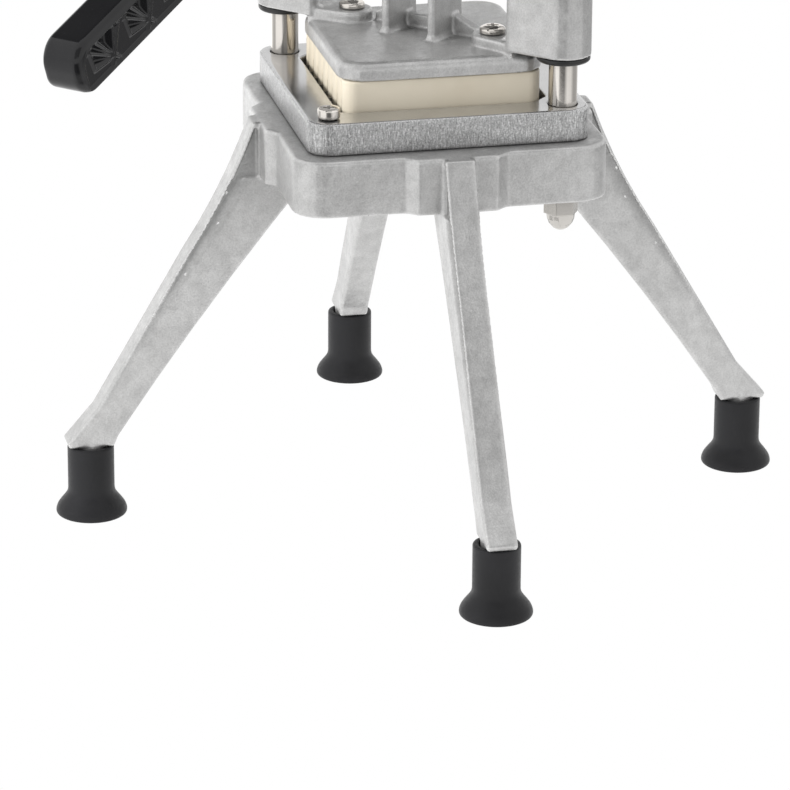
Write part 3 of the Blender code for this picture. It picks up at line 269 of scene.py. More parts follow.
class Nodes:
    """A small helper that adds nodes to a material and links them."""

    def __init__(self, name):
        self.material = bpy.data.materials.new(name)
        self.material.use_nodes = True
        self.tree = self.material.node_tree
        self.shader = self.tree.nodes["Principled BSDF"]
        self.output = self.tree.nodes["Material Output"]

    def add(self, kind, **values):
        node = self.tree.nodes.new("ShaderNode" + kind)
        for key, value in values.items():
            if hasattr(node, key):
                setattr(node, key, value)
            else:
                node.inputs[key.replace("_", " ")].default_value = value
        return node

    def link(self, out, into):
        self.tree.links.new(out, into)

    def put(self, socket, value):
        """Link a socket to another, or set its value."""
        if isinstance(value, bpy.types.NodeSocket):
            self.link(value, socket)
        else:
            socket.default_value = value

    def where(self, scale=(1, 1, 1), turn=0.0):
        """Object coordinates, turned about z and then scaled."""
        place = self.add("TexCoord")
        mapping = self.add("Mapping")
        mapping.inputs["Scale"].default_value = scale
        mapping.inputs["Rotation"].default_value = (0, 0, turn)
        self.link(place.outputs["Object"], mapping.inputs["Vector"])
        return mapping.outputs["Vector"]

    def noise(self, vector, scale, detail, roughness):
        node = self.add("TexNoise")
        node.inputs["Scale"].default_value = scale
        node.inputs["Detail"].default_value = detail
        node.inputs["Roughness"].default_value = roughness
        self.link(vector, node.inputs["Vector"])
        return node.outputs["Fac"]

    def ramp(self, value, stops):
        node = self.add("ValToRGB")
        elements = node.color_ramp.elements
        while len(elements) < len(stops):
            elements.new(0.5)
        for element, (position, colour) in zip(elements, stops):
            element.position = position
            element.color = (*colour, 1) if isinstance(colour, tuple) else (colour, colour, colour, 1)
        self.link(value, node.inputs["Fac"])
        return node.outputs["Color"]

    def fit(self, value, low, high, start=0.0, end=1.0):
        node = self.add("MapRange")
        for key, amount in (("From Min", start), ("From Max", end), ("To Min", low), ("To Max", high)):
            node.inputs[key].default_value = amount
        self.link(value, node.inputs["Value"])
        return node.outputs["Result"]

    def blend(self, factor, first, second, mode="MIX", kind="RGBA"):
        node = self.add("Mix", data_type=kind)
        if kind == "RGBA":
            node.blend_type = mode
        sockets = [s for s in node.inputs if s.enabled]
        for socket, value in zip(sockets, (factor, first, second)):
            self.put(socket, (*value, 1) if isinstance(value, tuple) else value)
        return [s for s in node.outputs if s.enabled][0]

    def bump(self, height, strength, distance, normal=None):
        node = self.add("Bump")
        self.put(node.inputs["Strength"], strength)
        node.inputs["Distance"].default_value = distance
        self.link(height, node.inputs["Height"])
        if normal:
            self.link(normal, node.inputs["Normal"])
        return node.outputs["Normal"]

    def use(self, **sockets):
        for key, value in sockets.items():
            self.put(self.shader.inputs[key.replace("_", " ")], value)
        return self.material


def painted_corner_shade(n, colour, depth, dark):
    """The colour darkened where surfaces meet: painted shade in corners, found by ambient occlusion."""
    open_air = n.add("AmbientOcclusion", samples=6)
    open_air.inputs["Distance"].default_value = depth
    shut, clear = CORNER_SHADE_SPAN
    return n.blend(1.0, colour, n.ramp(open_air.outputs["AO"], ((shut, dark), (clear, 1.0))), "MULTIPLY")


def cast_metal():
    """Tumbled cast aluminium: grainy and cloudy, with a painted highlight on its edges, painted shade in
    corners and painted shade in the legs' hollows.
    """
    n = Nodes("cast_aluminium")
    spot = n.where()
    grain = n.noise(spot, *CAST_GRAIN)
    pits = n.noise(spot, *CAST_PITS)
    colour = n.ramp(n.noise(spot, *CAST_CLOUDS), CAST_TONES)
    colour = n.blend(1.0, colour, n.ramp(n.noise(spot, *CAST_BLOTCHES), CAST_BLOTCH_TONES), "MULTIPLY")
    colour = n.blend(1.0, colour, n.ramp(grain, CAST_GRAIN_TONES), "MULTIPLY")
    # painted shade in corners
    colour = painted_corner_shade(n, colour, *CAST_CORNER_SHADE)
    # painted shade in the legs' hollows, by how deep each point lies in them
    hollow = n.add("Attribute", attribute_name=HOLLOW_SHADE).outputs["Fac"]
    colour = n.blend(n.fit(hollow, 0.0, CAST_HOLLOW_SHADE_SHARE), colour, CAST_HOLLOW_SHADE)
    # painted highlight on edges found by pointiness, which also makes the edges less rough
    edge = n.fit(n.add("NewGeometry").outputs["Pointiness"], 0.0, 1.0, *CAST_EDGE_RANGE)
    colour = n.blend(edge, colour, CAST_EDGE_HIGHLIGHT)
    rough = n.blend(edge, n.fit(pits, *CAST_ROUGH, *NOISE_SPAN), CAST_EDGE_ROUGH, kind="FLOAT")
    rise = n.bump(grain, *GRAIN_BUMP, n.bump(pits, *PIT_BUMP))
    return n.use(Base_Color=colour, Metallic=CAST_METALLIC, Roughness=rough, Normal=rise)


def machined_metal():
    """Milled aluminium: gritty upright tool marks on its sides and a smooth cloudy top."""
    n = Nodes("machined_aluminium")
    spot = n.where()
    grit = n.noise(spot, *MILL_GRIT)
    clouds = n.noise(spot, *MILL_CLOUDS)
    marks = n.blend(0.5, n.noise(n.where(UPRIGHT_STRETCH), *MILL_LINES), grit)
    facing = n.add("SeparateXYZ")
    n.link(n.add("NewGeometry").outputs["Normal"], facing.inputs[0])
    top = n.fit(facing.outputs["Z"], 0.0, 1.0, *MILL_TOP_FACING)
    colour = n.blend(top, n.ramp(marks, MILL_SIDE_TONES), n.ramp(clouds, MILL_TOP_TONES))
    # painted shade in corners
    colour = painted_corner_shade(n, colour, *MILL_CORNER_SHADE)
    side_rough = n.fit(grit, *MILL_SIDE_ROUGH, *NOISE_SPAN)
    top_rough = n.fit(clouds, *MILL_TOP_ROUGH, *NOISE_SPAN)
    rough = n.blend(top, side_rough, top_rough, kind="FLOAT")
    rise = n.bump(marks, n.fit(top, *MILL_BUMP), MILL_BUMP_DEPTH)
    return n.use(Base_Color=colour, Metallic=MILL_METALLIC, Roughness=rough, Normal=rise)


def bright_metal(name, tone, rough_low, rough_high, scale):
    """Plated or ground steel with faint turning lines."""
    n = Nodes(name)
    lines = n.noise(n.where(TURNED_STRETCH), scale, *TURNED_LINES)
    haze = n.noise(n.where(), *STEEL_HAZE)
    colour = n.blend(1.0, tone, n.ramp(haze, HAZE_TONES), "MULTIPLY")
    # painted shade in corners
    colour = painted_corner_shade(n, colour, *STEEL_CORNER_SHADE)
    rough = n.fit(lines, rough_low, rough_high, *NOISE_SPAN)
    return n.use(Base_Color=colour, Metallic=1.0, Roughness=rough, Normal=n.bump(lines, *STEEL_BUMP))


def plain_skin(name, dark, light, rough_low, rough_high, grain_scale, relief, gloss):
    """A moulded or rubber skin with faint clouds and a fine grain."""
    n = Nodes(name)
    spot = n.where()
    grain = n.noise(spot, grain_scale, *SKIN_GRAIN)
    start, end = NOISE_SPAN
    colour = n.ramp(n.noise(spot, *SKIN_CLOUDS), ((start, dark), (end, light)))
    rough = n.fit(grain, rough_low, rough_high, start, end)
    return n.use(Base_Color=colour, Roughness=rough, Specular_IOR_Level=gloss,
                 Normal=n.bump(grain, relief, SKIN_BUMP_DEPTH))


CAST = cast_metal()
MACHINED = machined_metal()
CHROME = bright_metal("chrome", (0.84, 0.80, 0.75), 0.05, 0.11, 900)
PLATED = bright_metal("zinc_plate", (0.56, 0.54, 0.51), 0.14, 0.24, 900)
BLADE = bright_metal("blade_steel", (0.66, 0.67, 0.68), 0.18, 0.30, 700)
RUBBER = plain_skin("black_rubber", (0.014, 0.014, 0.015), (0.022, 0.022, 0.024),
                    0.36, 0.48, 700, 0.08, 0.22)
NYLON = plain_skin("cream_nylon", (0.67, 0.60, 0.475), (0.74, 0.675, 0.55), 0.38, 0.52, 500, 0.06, 0.5)
MOULDING = plain_skin("black_moulding", (0.005, 0.005, 0.006), (0.009, 0.009, 0.010),
                      0.09, 0.13, 300, 0.02, 0.42)
BEARING = plain_skin("bearing_plastic", (0.012, 0.012, 0.012), (0.02, 0.02, 0.02),
                     0.30, 0.40, 500, 0.05, 0.5)
FINISHES = {
    "cast_aluminium": CAST, "machined_aluminium": MACHINED, "chrome": CHROME, "blade_steel": BLADE,
    "black_rubber": RUBBER, "cream_nylon": NYLON, "black_moulding": MOULDING, "bearing_plastic": BEARING,
}
SLOT = {part["node"]: part["material_slot"] for part in frame["record"]["subparts"]}
BODY = {node: body for body, nodes in frame["record"]["behaviour"]["bodies"].items() for node in nodes}


def dress_nodes():
    """Give each CAD node its procedural material, by its slot in the record."""
    for name, slot in SLOT.items():
        for place in NODES[name].material_slots:
            place.material = FINISHES[slot]


# Pieces

def add_piece(name, mesh, node):
    """An object from a bmesh that stands for a CAD node and rides with its body."""
    bmesh.ops.recalc_face_normals(mesh, faces=mesh.faces)
    data = bpy.data.meshes.new(name)
    mesh.to_mesh(data)
    mesh.free()
    data.materials.append(FINISHES[SLOT[node]])
    data.shade_smooth()
    data.set_sharp_from_angle(angle=SHARP)
    piece = bpy.data.objects.new(name, data)
    bpy.context.collection.objects.link(piece)
    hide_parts(node)
    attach(piece, BODY[node])
    return piece


def welded(node):
    """The CAD node's surface with its corners joined up."""
    mesh = bmesh.new()
    mesh.from_mesh(NODES[node].data)
    bmesh.ops.remove_doubles(mesh, verts=mesh.verts, dist=JOIN)
    return mesh


def bake_modifiers(piece):
    graph = bpy.context.evaluated_depsgraph_get()
    data = bpy.data.meshes.new_from_object(piece.evaluated_get(graph))
    piece.modifiers.clear()
    piece.data = data
    data.shade_smooth()


def soften(piece, cell, passes):
    """Cut a piece into small cells and smooth it, so that its edges turn soft."""
    cells = piece.modifiers.new("cells", "REMESH")
    cells.mode = "VOXEL"
    cells.voxel_size = cell
    piece.modifiers.new("ease", "SMOOTH").iterations = passes
    bake_modifiers(piece)


def eased(node, cell, passes):
    """A softened copy of a CAD node."""
    piece = add_piece(node + "_skin", welded(node), node)
    soften(piece, cell, passes)
    return piece


def at(x, y, z=0.0):
    return Matrix.Translation((x, y, z))


def rounded(profile, radius, steps=4):
    """The profile with its inner corners rounded by radius, or by half the shorter side."""
    points = [profile[0]]
    for before, corner, after in zip(profile, profile[1:], profile[2:]):
        here = Vector(corner)
        back, ahead = Vector(before) - here, Vector(after) - here
        reach = min(radius, back.length / 2, ahead.length / 2)
        start, end = here + back.normalized() * reach, here + ahead.normalized() * reach
        for k in range(steps + 1):
            t = k / steps
            points.append(tuple(start * (1 - t) ** 2 + here * 2 * t * (1 - t) + end * t ** 2))
    return points + [profile[-1]]


def turned(profile, place=Matrix(), steps=TURN_STEPS, ring=False):
    """A bmesh turned from (radius, height) points; a ring's profile closes on itself."""
    mesh = bmesh.new()
    rows = []
    for radius, height in profile:
        if radius < JOIN:
            rows.append([mesh.verts.new(place @ Vector((0, 0, height)))] * steps)
            continue
        rows.append([mesh.verts.new(place @ Vector((radius * cos(t), radius * sin(t), height)))
                     for t in (2 * pi * k / steps for k in range(steps))])
    pairs = list(zip(rows, rows[1:])) + ([(rows[-1], rows[0])] if ring else [])
    for low, high in pairs:
        for k in range(steps):
            corners = [low[k - 1], low[k], high[k], high[k - 1]]
            corners = [v for i, v in enumerate(corners) if v is not corners[i - 1]]
            if len(corners) > 2:
                mesh.faces.new(corners)
    return mesh


def make_castings():
    """The castings and the milled frame, with their edges softened by how each is finished."""
    fade_recesses(eased("base_casting", *BASE_CELLS))
    eased("head_casting", *HEAD_CELLS)
    eased("cutter_frame", *FRAME_CELLS)


def outer_line(away, level, middle):
    """How far out the leg reaches at each vertex's own level, smoothed over nearby levels."""
    reach = np.zeros(level.max() + 1)
    np.maximum.at(reach, level[middle], away[middle])
    padded = np.pad(reach, LEVEL_BLUR // 2, "edge")
    return np.convolve(padded, np.ones(LEVEL_BLUR) / LEVEL_BLUR, "valid")[level]


def fade_recesses(casting):
    """Slope the floor of each leg's hollow, deep at the outer edge and gone at its inner border."""
    spots = coordinates(casting)
    z = spots[:, 2]
    ring_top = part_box("base_casting")[1][2]
    ankle = LEG_END + LEG_ANKLE_RISE
    fade = np.clip((z - ankle) / (ring_top - ankle), FADE_LEAST, 1)
    level = (z / LEVEL_STEP).astype(int)
    half = LEG_WIDTH / 2
    hollow = np.zeros(len(spots))
    for k in range(4):
        turn = pi / 4 + k * pi / 2
        away = spots[:, 0] * cos(turn) + spots[:, 1] * sin(turn)
        side = spots[:, 1] * cos(turn) - spots[:, 0] * sin(turn)
        outer = outer_line(away, level, np.abs(side) < half / 2)
        inside = (outer - away) * LEG_LEAN - RECESS_LAND
        rise = smooth_step(inside / (FADE_WIDTH * fade), 0.0, 1.0)
        skin = (away > PAD_FACE) & (z > ankle) & (inside > -BAND_EDGE)
        skin &= (np.abs(side) > half - RECESS_DEPTH - SKIN_REACH) & (np.abs(side) < half + BAND_EDGE)
        band = skin & (z < ring_top - HOLLOW_TOP) & (inside < FADE_WIDTH * fade)
        depth = RECESS_DEPTH * smooth_step(fade, FADE_END, FADE_FULL)
        moved = np.where(band, half - depth * (1 - rise) - np.abs(side), 0)
        skin &= band | (z > ring_top - HOLLOW_TOP)
        # how deep each point lies in the hollow, kept for the painted shade there
        hollow += skin * np.clip((half - np.abs(side) - moved) / RECESS_DEPTH, 0, 1)
        moved *= np.sign(side)
        spots[:, 0] -= moved * sin(turn)
        spots[:, 1] += moved * cos(turn)
    reshape(casting, spots)
    casting.data.attributes.new(HOLLOW_SHADE, "FLOAT", "POINT").data.foreach_set("value", hollow)
    casting.modifiers.new("ease", "SMOOTH").iterations = FADE_PASSES
    bake_modifiers(casting)


def coordinates(piece):
    """The vertices of a piece as an array, which reshape() writes back."""
    spots = np.empty(len(piece.data.vertices) * 3)
    piece.data.vertices.foreach_get("co", spots)
    return spots.reshape(-1, 3)


def reshape(piece, spots):
    """Write the vertices back."""
    piece.data.vertices.foreach_set("co", spots.ravel())
    piece.data.update()


def smooth_step(value, start, end):
    t = np.clip((value - start) / (end - start), 0, 1)
    return t * t * (3 - 2 * t)


def make_block():
    """The nylon block, whose slotted sides carry shallow flutes above the slots."""
    block = eased("pusher_block", *BLOCK_CELLS)
    spots = coordinates(block)
    flat = (spots[:, 1] - spots[:, 0]) / sqrt(2)
    row = (spots[:, 0] + spots[:, 1]) / sqrt(2)
    below_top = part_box("pusher_block")[1][2] - spots[:, 2]
    nearest = row / BLADE_PITCH - 0.5
    nearest = (nearest - np.round(nearest)) * BLADE_PITCH
    flute = np.exp(-(nearest / FLUTE_HALF) ** 2) * (np.abs(row) < BLOCK_HALF - FLUTE_MARGIN)
    flute *= (np.abs(flat) > BLOCK_HALF - FLUTE_SKIN) * smooth_step(below_top, *FLUTE_TOP)
    moved = np.sign(flat) * flute * FLUTE_DEPTH
    spots[:, 1] -= moved / sqrt(2)
    spots[:, 0] += moved / sqrt(2)
    reshape(block, spots)


def handle_point(along, up):
    """A point of the handle's side view, from its distance along the underside and above it."""
    side = -1 if along < 0 else 1
    turn = min(abs(along) / HANDLE_ARC, HANDLE_DROOP)
    x = (HANDLE_ARC + up) * sin(turn)
    z = HANDLE_UNDER - HANDLE_ARC + (HANDLE_ARC + up) * cos(turn)
    straight = max(abs(along) - HANDLE_ARC * HANDLE_DROOP, 0)
    return side * (x + straight * cos(HANDLE_DROOP)), z - straight * sin(HANDLE_DROOP)


def handle_place(x, z):
    """The reverse of handle_point, for arrays."""
    middle = HANDLE_UNDER - HANDLE_ARC
    turn = np.arctan2(np.abs(x), z - middle)
    round_along, round_up = turn * HANDLE_ARC, np.hypot(x, z - middle) - HANDLE_ARC
    start = handle_point(HANDLE_ARC * HANDLE_DROOP, 0)
    dx, dz = np.abs(x) - start[0], z - start[1]
    along = HANDLE_ARC * HANDLE_DROOP + dx * cos(HANDLE_DROOP) - dz * sin(HANDLE_DROOP)
    up = dx * sin(HANDLE_DROOP) + dz * cos(HANDLE_DROOP)
    bent = turn < HANDLE_DROOP
    return np.where(bent, round_along, along), np.where(bent, round_up, up)


def arc(centre, radius, start, end, steps):
    turns = [start + (end - start) * k / steps for k in range(steps + 1)]
    return [(centre[0] + radius * cos(t), centre[1] + radius * sin(t)) for t in turns]


def triangle_depth(x, y, corners):
    """How far each point lies inside a triangle, negative outside."""
    inside = np.full(x.shape, 1.0)
    for (ax, ay), (bx, by) in zip(corners, corners[1:] + corners[:1]):
        length = sqrt((bx - ax) ** 2 + (by - ay) ** 2)
        inside = np.minimum(inside, ((bx - ax) * (y - ay) - (by - ay) * (x - ax)) / length)
    return inside


def panel_depth(along, up):
    """How deep the handle's side lies at each point: a panel with a rim, and fans of pockets in it."""
    upper, tip = HANDLE_DEPTH - RIM_UPPER, HANDLE_LENGTH - RIM_TIP
    corner = np.hypot(np.maximum(along - (tip - PANEL_ROUND), 0), np.maximum(up - (upper - PANEL_ROUND), 0))
    edge = np.minimum.reduce([up - RIM_LOWER, upper - up, tip - along, PANEL_ROUND - corner,
                              along - HUB_HALF])
    deep = PANEL_DEPTH * smooth_step(edge, *PANEL_SLOPE)
    deep -= RIM_RISE * np.exp(-(edge / RIM_HALF) ** 2)
    pocket, rib = np.zeros(along.shape), np.zeros(along.shape)
    fans = int((HANDLE_LENGTH - FAN_FROM_TIP - FAN_STOP) / FAN_PITCH) + 1
    for k in range(fans):
        hub = HANDLE_LENGTH - FAN_FROM_TIP - k * FAN_PITCH
        for along_shares, up_shares in zip(FAN_PITCH_SHARES, FAN_HEIGHT_SHARES):
            corners = [(hub + a * FAN_PITCH, FAN_FOOT + u * FAN_HEIGHT)
                       for a, u in zip(along_shares, up_shares)]
            area = sum(a[0] * b[1] - b[0] * a[1] for a, b in zip(corners, corners[1:] + corners[:1]))
            inside = triangle_depth(along, up, corners if area > 0 else corners[::-1])
            pocket = np.maximum(pocket, smooth_step(inside, *POCKET_SLOPE))
            rib = np.maximum(rib, np.exp(-((inside + RIB_HALF) / RIB_HALF) ** 2))
    deep += (POCKET_DEPTH * pocket - RIB_RISE * rib) * smooth_step(edge, 0.0, RELIEF_SLOPE)
    return np.maximum(deep, -RIM_RISE)


def handle_outline():
    """The handle's side view along its underside, round the tips and back over its top."""
    bend = HANDLE_ARC * HANDLE_DROOP
    low = [-bend + 2 * bend * k / BEND_STEPS for k in range(BEND_STEPS + 1)]
    lower = (HANDLE_LENGTH - TIP_LOWER_ROUND, TIP_LOWER_ROUND)
    upper = (HANDLE_LENGTH - TIP_UPPER_ROUND, HANDLE_DEPTH - TIP_UPPER_ROUND)
    tip = arc(lower, TIP_LOWER_ROUND, -pi / 2, 0, TIP_STEPS)
    tip += arc(upper, TIP_UPPER_ROUND, 0, pi / 2, TIP_STEPS)
    flat = [(along, 0) for along in low] + tip + [(along, HANDLE_DEPTH) for along in low[::-1]]
    return flat + [(-along, up) for along, up in tip[::-1]]


def handle_body():
    """The handle's plain body: its outline in rows across, drawn in where its edges are round."""
    flat = handle_outline()
    outline = [Vector(handle_point(*spot)) for spot in flat]
    rise = 1 - HANDLE_LOWER_EDGE_SHARE
    shares = [HANDLE_LOWER_EDGE_SHARE + rise * min(max(up / TIP_LOWER_ROUND, 0), 1) for along, up in flat]
    mesh = bmesh.new()
    rows = []
    middle = EDGE_STEPS // 2
    for k in range(EDGE_STEPS + 1):
        turn = pi * k / EDGE_STEPS
        level = (HANDLE_HALF - HANDLE_EDGE) * np.sign(middle - k) + HANDLE_EDGE * cos(turn)
        row = []
        for i, (here, share) in enumerate(zip(outline, shares)):
            ahead = (outline[(i + 1) % len(outline)] - outline[i - 1]).normalized()
            spot = here + Vector((-ahead.y, ahead.x)) * HANDLE_EDGE * share * (1 - sin(turn))
            row.append(mesh.verts.new((spot.x, level, spot.y)))
        rows.append(row)
    for first, second in zip(rows, rows[1:]):
        for i in range(len(first)):
            mesh.faces.new((first[i - 1], first[i], second[i], second[i - 1]))
    mesh.faces.new(rows[0])
    mesh.faces.new(rows[-1][::-1])
    return mesh


def make_handle():
    """The moulded handle, with round upper edges and a rimmed, fan-ribbed panel on each side."""
    piece = add_piece("handle_moulding", handle_body(), "handle")
    soften(piece, *HANDLE_CELLS)
    spots = coordinates(piece)
    along, up = handle_place(spots[:, 0], spots[:, 2])
    depth = panel_depth(along, up) * (np.abs(spots[:, 1]) > HANDLE_HALF - RELIEF_SKIN)
    spots[:, 1] -= np.sign(spots[:, 1]) * depth
    reshape(piece, spots)


def make_feet():
    """Rubber feet: a tube with a rounded mouth that sweeps out to a soft-edged foot."""
    for spot in ("front_left", "front_right", "rear_left", "rear_right"):
        node = "foot_" + spot
        low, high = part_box(node)
        place = at((low[0] + high[0]) / 2, (low[1] + high[1]) / 2)
        add_piece(node + "_rubber", turned(rounded(FOOT_PROFILE, FOOT_ROUND), place), node)


def axis_of(node):
    """The middle of a node's foot as a place, its height, and half its width."""
    low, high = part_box(node)
    place = at((low[0] + high[0]) / 2, (low[1] + high[1]) / 2, low[2])
    return place, high[2] - low[2], (high[0] - low[0]) / 2


def make_round(node, suffix, profile, edge, ring=False):
    """Replace a turned node by a finer one; profile maps its height and radius to points."""
    place, height, radius = axis_of(node)
    points = profile(height, radius)
    points = rounded(points, edge) if not ring else rounded(points + points[:2], edge)[1:-1]
    return add_piece(node + suffix, turned(points, place, ring=ring), node)


def rod_profile(height, radius):
    """A ground rod with a stud below and, near its top, the groove of the retaining ring."""
    low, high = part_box("stop_ring_front")
    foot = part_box("guide_rod_front")[0][2]
    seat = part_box("base_casting")[1][2] - ROD_SEAT - foot
    start, end = low[2] - foot - GAP, high[2] - foot + GAP
    neck = radius - RING_GROOVE
    return [(0, 0), (STUD_RADIUS, 0), (STUD_RADIUS, seat), (radius, seat), (radius, start), (neck, start),
            (neck, end), (radius, end), (radius, height), (0, height)]


def washer_profile(height, radius):
    bore = STUD_RADIUS + GAP
    return [(bore, 0), (radius, 0), (radius, height), (bore, height)]


def bushing_profile(height, radius):
    """A flanged bushing whose flange bulges a little."""
    bore = ROD_RADIUS + GAP
    return [(bore, 0), (radius - BUSH_BULGE, 0), (radius, BUSH_BULGE_FOOT),
            (radius, BUSH_FLANGE - BUSH_ROUND), (radius - BUSH_ROUND, BUSH_FLANGE),
            (BUSH_RADIUS, BUSH_FLANGE), (BUSH_RADIUS, height), (bore, height)]


def cross_recess(screw, place, width, depth):
    """Cut a tapered cross into a screw head from above."""
    mesh = bmesh.new()
    for turn in (CROSS_TURN, CROSS_TURN + pi / 2):
        spin = place @ Matrix.Rotation(turn, 4, "Z")
        rows = []
        for level, grow in zip((-depth, depth), CROSS_TAPER_SHARES):
            reach, wing = width * grow, width * CROSS_WING_SHARE * grow
            rows.append([mesh.verts.new(spin @ Vector((x * reach, y * wing, level)))
                         for x, y in ((-1, -1), (1, -1), (1, 1), (-1, 1))])
        low, high = rows
        mesh.faces.new(low[::-1])
        mesh.faces.new(high)
        for k in range(4):
            mesh.faces.new((low[k - 1], low[k], high[k], high[k - 1]))
    cut_away(screw, mesh)


def cut_away(piece, mesh):
    """Subtract a bmesh from a piece and keep the result."""
    bmesh.ops.recalc_face_normals(mesh, faces=mesh.faces)
    data = bpy.data.meshes.new("cutter")
    mesh.to_mesh(data)
    mesh.free()
    tool = bpy.data.objects.new("cutter", data)
    bpy.context.collection.objects.link(tool)
    cut = piece.modifiers.new("cut", "BOOLEAN")
    cut.operation = "DIFFERENCE"
    cut.solver = "EXACT"
    cut.use_self = True
    cut.object = tool
    bake_modifiers(piece)
    bpy.data.objects.remove(tool)
    piece.data.set_sharp_from_angle(angle=SHARP)


def pan_head(shank, drop, radius, head):
    """The profile of a pan-head screw, from its tip at height 0 up to its domed head."""
    points = [(0, 0), (shank, 0), (shank, drop), (radius, drop), (radius, drop + head * PAN_WALL_SHARE)]
    for k in range(1, PAN_STEPS + 1):
        turn = k / PAN_STEPS * pi / 2
        share = PAN_WALL_SHARE + (1 - PAN_WALL_SHARE) * sin(turn)
        points.append((radius * cos(turn) ** PAN_CROWN, drop + head * share))
    points[-1] = (0, points[-1][1])
    return points


def cheese_head(shank, drop, radius, head):
    """The profile of a cheese-head screw, from its tip at height 0 up to its flat head."""
    return [(0, 0), (shank, 0), (shank, drop), (radius, drop), (radius, drop + head), (0, drop + head)]


def make_screw(node, profile, shank, head, edge, cross):
    """Replace a screw by one with a rounded head and a cross recess."""
    place, height, radius = axis_of(node)
    points = profile(shank, height - head, radius, head)
    screw = add_piece(node + "_steel", turned(rounded(points, edge), place), node)
    cross_recess(screw, place @ at(0, 0, height), *cross)


def make_screws():
    """Pan-head screws on the plate and cheese-head screws on the frame."""
    for end in ("front", "rear"):
        make_screw("block_screw_" + end, pan_head, BLOCK_SCREW_RADIUS, BLOCK_SCREW_HEAD_HEIGHT,
                   PAN_ROUND, PAN_CROSS)
    for end in ("left", "right"):
        make_screw("cutter_screw_" + end, cheese_head, CUTTER_SCREW_RADIUS, CUTTER_SCREW_HEAD_HEIGHT,
                   CHEESE_ROUND, CHEESE_CROSS)


def make_cap_nuts():
    """Softened cap nuts, in a duller plating than the other bright pieces."""
    for end in ("front", "rear"):
        node = "cap_nut_" + end
        piece = eased(node, *NUT_CELLS)
        piece.name = node + "_plated"
        piece.data.materials[0] = PLATED


def make_rods():
    """Guide rods, their washers, and the flanged bushings that slide on them."""
    for end in ("front", "rear"):
        make_round("guide_rod_" + end, "_ground", rod_profile, ROD_ROUND)
        make_round("rod_washer_" + end, "_plated", washer_profile, WASHER_ROUND, ring=True)
        make_round("lower_bushing_" + end, "_moulded", bushing_profile, BUSH_ROUND, ring=True)


# Stage

def light(name, place, height, size, power):
    """An area light aimed at a height on the rods' middle line, and unseen in reflections."""
    data = bpy.data.lights.new(name, "AREA")
    data.shape = "RECTANGLE"
    data.size, data.size_y = size
    data.energy = power
    lamp = bpy.data.objects.new(name, data)
    lamp.location = place
    lamp.rotation_euler = (Vector((0, 0, height)) - Vector(place)).to_track_quat("-Z", "Y").to_euler()
    lamp.visible_glossy = False
    bpy.context.collection.objects.link(lamp)


def background_rays(tree):
    """The factor for rays that should see a plain white background."""
    path = tree.nodes.new("ShaderNodeLightPath")
    total = path.outputs["Is Camera Ray"]
    for name in ("Is Glossy Ray", "Is Transmission Ray"):
        add = tree.nodes.new("ShaderNodeMath")
        add.operation = "MAXIMUM"
        tree.links.new(total, add.inputs[0])
        tree.links.new(path.outputs[name], add.inputs[1])
        total = add.outputs[0]
    return total


def set_world():
    """Soft light all round, and plain white to the camera and in reflections."""
    world = bpy.data.worlds.new("studio")
    bpy.context.scene.world = world
    world.use_nodes = True
    tree = world.node_tree
    soft = tree.nodes["Background"]
    soft.inputs["Color"].default_value = (1, 1, 1, 1)
    soft.inputs["Strength"].default_value = SKY_SOFT
    white = tree.nodes.new("ShaderNodeBackground")
    white.inputs["Color"].default_value = (1, 1, 1, 1)
    white.inputs["Strength"].default_value = 1.0
    mix = tree.nodes.new("ShaderNodeMixShader")
    tree.links.new(background_rays(tree), mix.inputs[0])
    tree.links.new(soft.outputs[0], mix.inputs[1])
    tree.links.new(white.outputs[0], mix.inputs[2])
    tree.links.new(mix.outputs[0], tree.nodes["World Output"].inputs["Surface"])


def stage_object(name, mesh, place):
    """An object of the stage from a bmesh."""
    data = bpy.data.meshes.new(name)
    mesh.to_mesh(data)
    mesh.free()
    item = bpy.data.objects.new(name, data)
    item.location = place
    bpy.context.collection.objects.link(item)
    return item


def make_floor():
    """A pale floor that keeps a faint shadow and is white to the camera."""
    mesh = bmesh.new()
    bmesh.ops.create_grid(mesh, x_segments=1, y_segments=1, size=FLOOR_HALF)
    floor = stage_object("floor", mesh, (0, 0, -FLOOR_DROP))
    n = Nodes("floor")
    n.use(Base_Color=FLOOR_TONE, Roughness=FLOOR_ROUGH, Specular_IOR_Level=0.0)
    glow = n.add("Emission", Strength=1.0)
    mix = n.add("MixShader")
    n.link(background_rays(n.tree), mix.inputs[0])
    n.link(n.shader.outputs[0], mix.inputs[1])
    n.link(glow.outputs[0], mix.inputs[2])
    n.link(mix.outputs[0], n.output.inputs["Surface"])
    floor.data.materials.append(n.material)


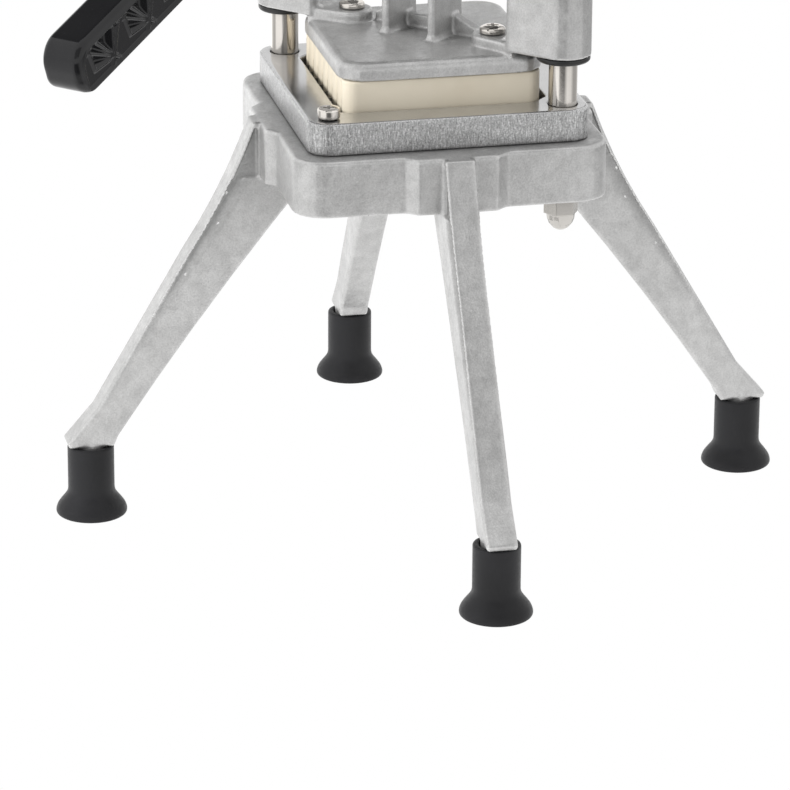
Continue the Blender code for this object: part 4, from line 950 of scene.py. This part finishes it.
def make_surround():
    """A ring of light and dark around the camera's side that only reflections see."""
    mesh = bmesh.new()
    bmesh.ops.create_circle(mesh, cap_ends=True, radius=SURROUND_RADIUS, segments=SURROUND_STEPS)
    disc = stage_object("surround", mesh, (0, 0, FLOOR_DROP))
    disc.rotation_euler = (0, 0, SURROUND_TURN)
    show_to_reflections(disc)
    n = Nodes("surround")
    around = n.add("TexGradient", gradient_type="RADIAL")
    n.link(n.add("TexCoord").outputs["Object"], around.inputs["Vector"])
    stops = [((turn + 180) / 360, value) for turn, value in SURROUND_TONES]
    away = n.add("VectorMath", operation="LENGTH")
    n.link(n.add("TexCoord").outputs["Object"], away.inputs[0])
    far = n.fit(away.outputs["Value"], 0.0, 1.0, *SURROUND_NEAR)
    glow = n.add("Emission")
    n.link(n.blend(far, SURROUND_NEAR_TONE, n.ramp(around.outputs["Fac"], stops)), glow.inputs["Color"])
    n.link(glow.outputs[0], n.output.inputs["Surface"])
    disc.data.materials.append(n.material)


def make_flag(name, place, half, tone):
    """A grey card, facing the object, that only reflections see."""
    mesh = bmesh.new()
    bmesh.ops.create_grid(mesh, x_segments=1, y_segments=1, size=1.0)
    card = stage_object(name, mesh, place)
    card.scale = (*half, 1)
    card.rotation_euler = Vector(place).to_track_quat("Z", "Y").to_euler()
    show_to_reflections(card)
    n = Nodes(name)
    glow = n.add("Emission")
    glow.inputs["Color"].default_value = (tone, tone, tone, 1)
    n.link(glow.outputs[0], n.output.inputs["Surface"])
    card.data.materials.append(n.material)


def show_to_reflections(card):
    for kind in ("camera", "diffuse", "transmission", "volume_scatter", "shadow"):
        setattr(card, "visible_" + kind, False)


def make_camera():
    """The photograph's viewpoint, found by fitting the rods, the feet and the square frames."""
    data = bpy.data.cameras.new("camera")
    data.sensor_width = CAMERA_SENSOR
    data.lens = CAMERA_LENS
    data.clip_end = CAMERA_REACH
    camera = bpy.data.objects.new("camera", data)
    camera.location = CAMERA_PLACE
    look = Vector(CAMERA_LOOK).normalized()
    right = Vector((look.y, -look.x, 0)).normalized()
    tilted = right * cos(CAMERA_ROLL) + right.cross(look) * sin(CAMERA_ROLL)
    camera.rotation_euler = Matrix((tilted, tilted.cross(look), -look)).transposed().to_euler()
    bpy.context.collection.objects.link(camera)
    bpy.context.scene.camera = camera


def make_stage():
    """The sky, floor, reflections, camera and lights, in plain colours."""
    set_world()
    make_floor()
    make_surround()
    for flag in FLAGS:
        make_flag(*flag)
    make_camera()
    for lamp in LIGHTS:
        light(*lamp)
    bpy.context.scene.view_settings.view_transform = "Standard"


dress_nodes()
make_castings()
make_block()
make_handle()
make_feet()
make_rods()
make_cap_nuts()
make_screws()
make_stage()
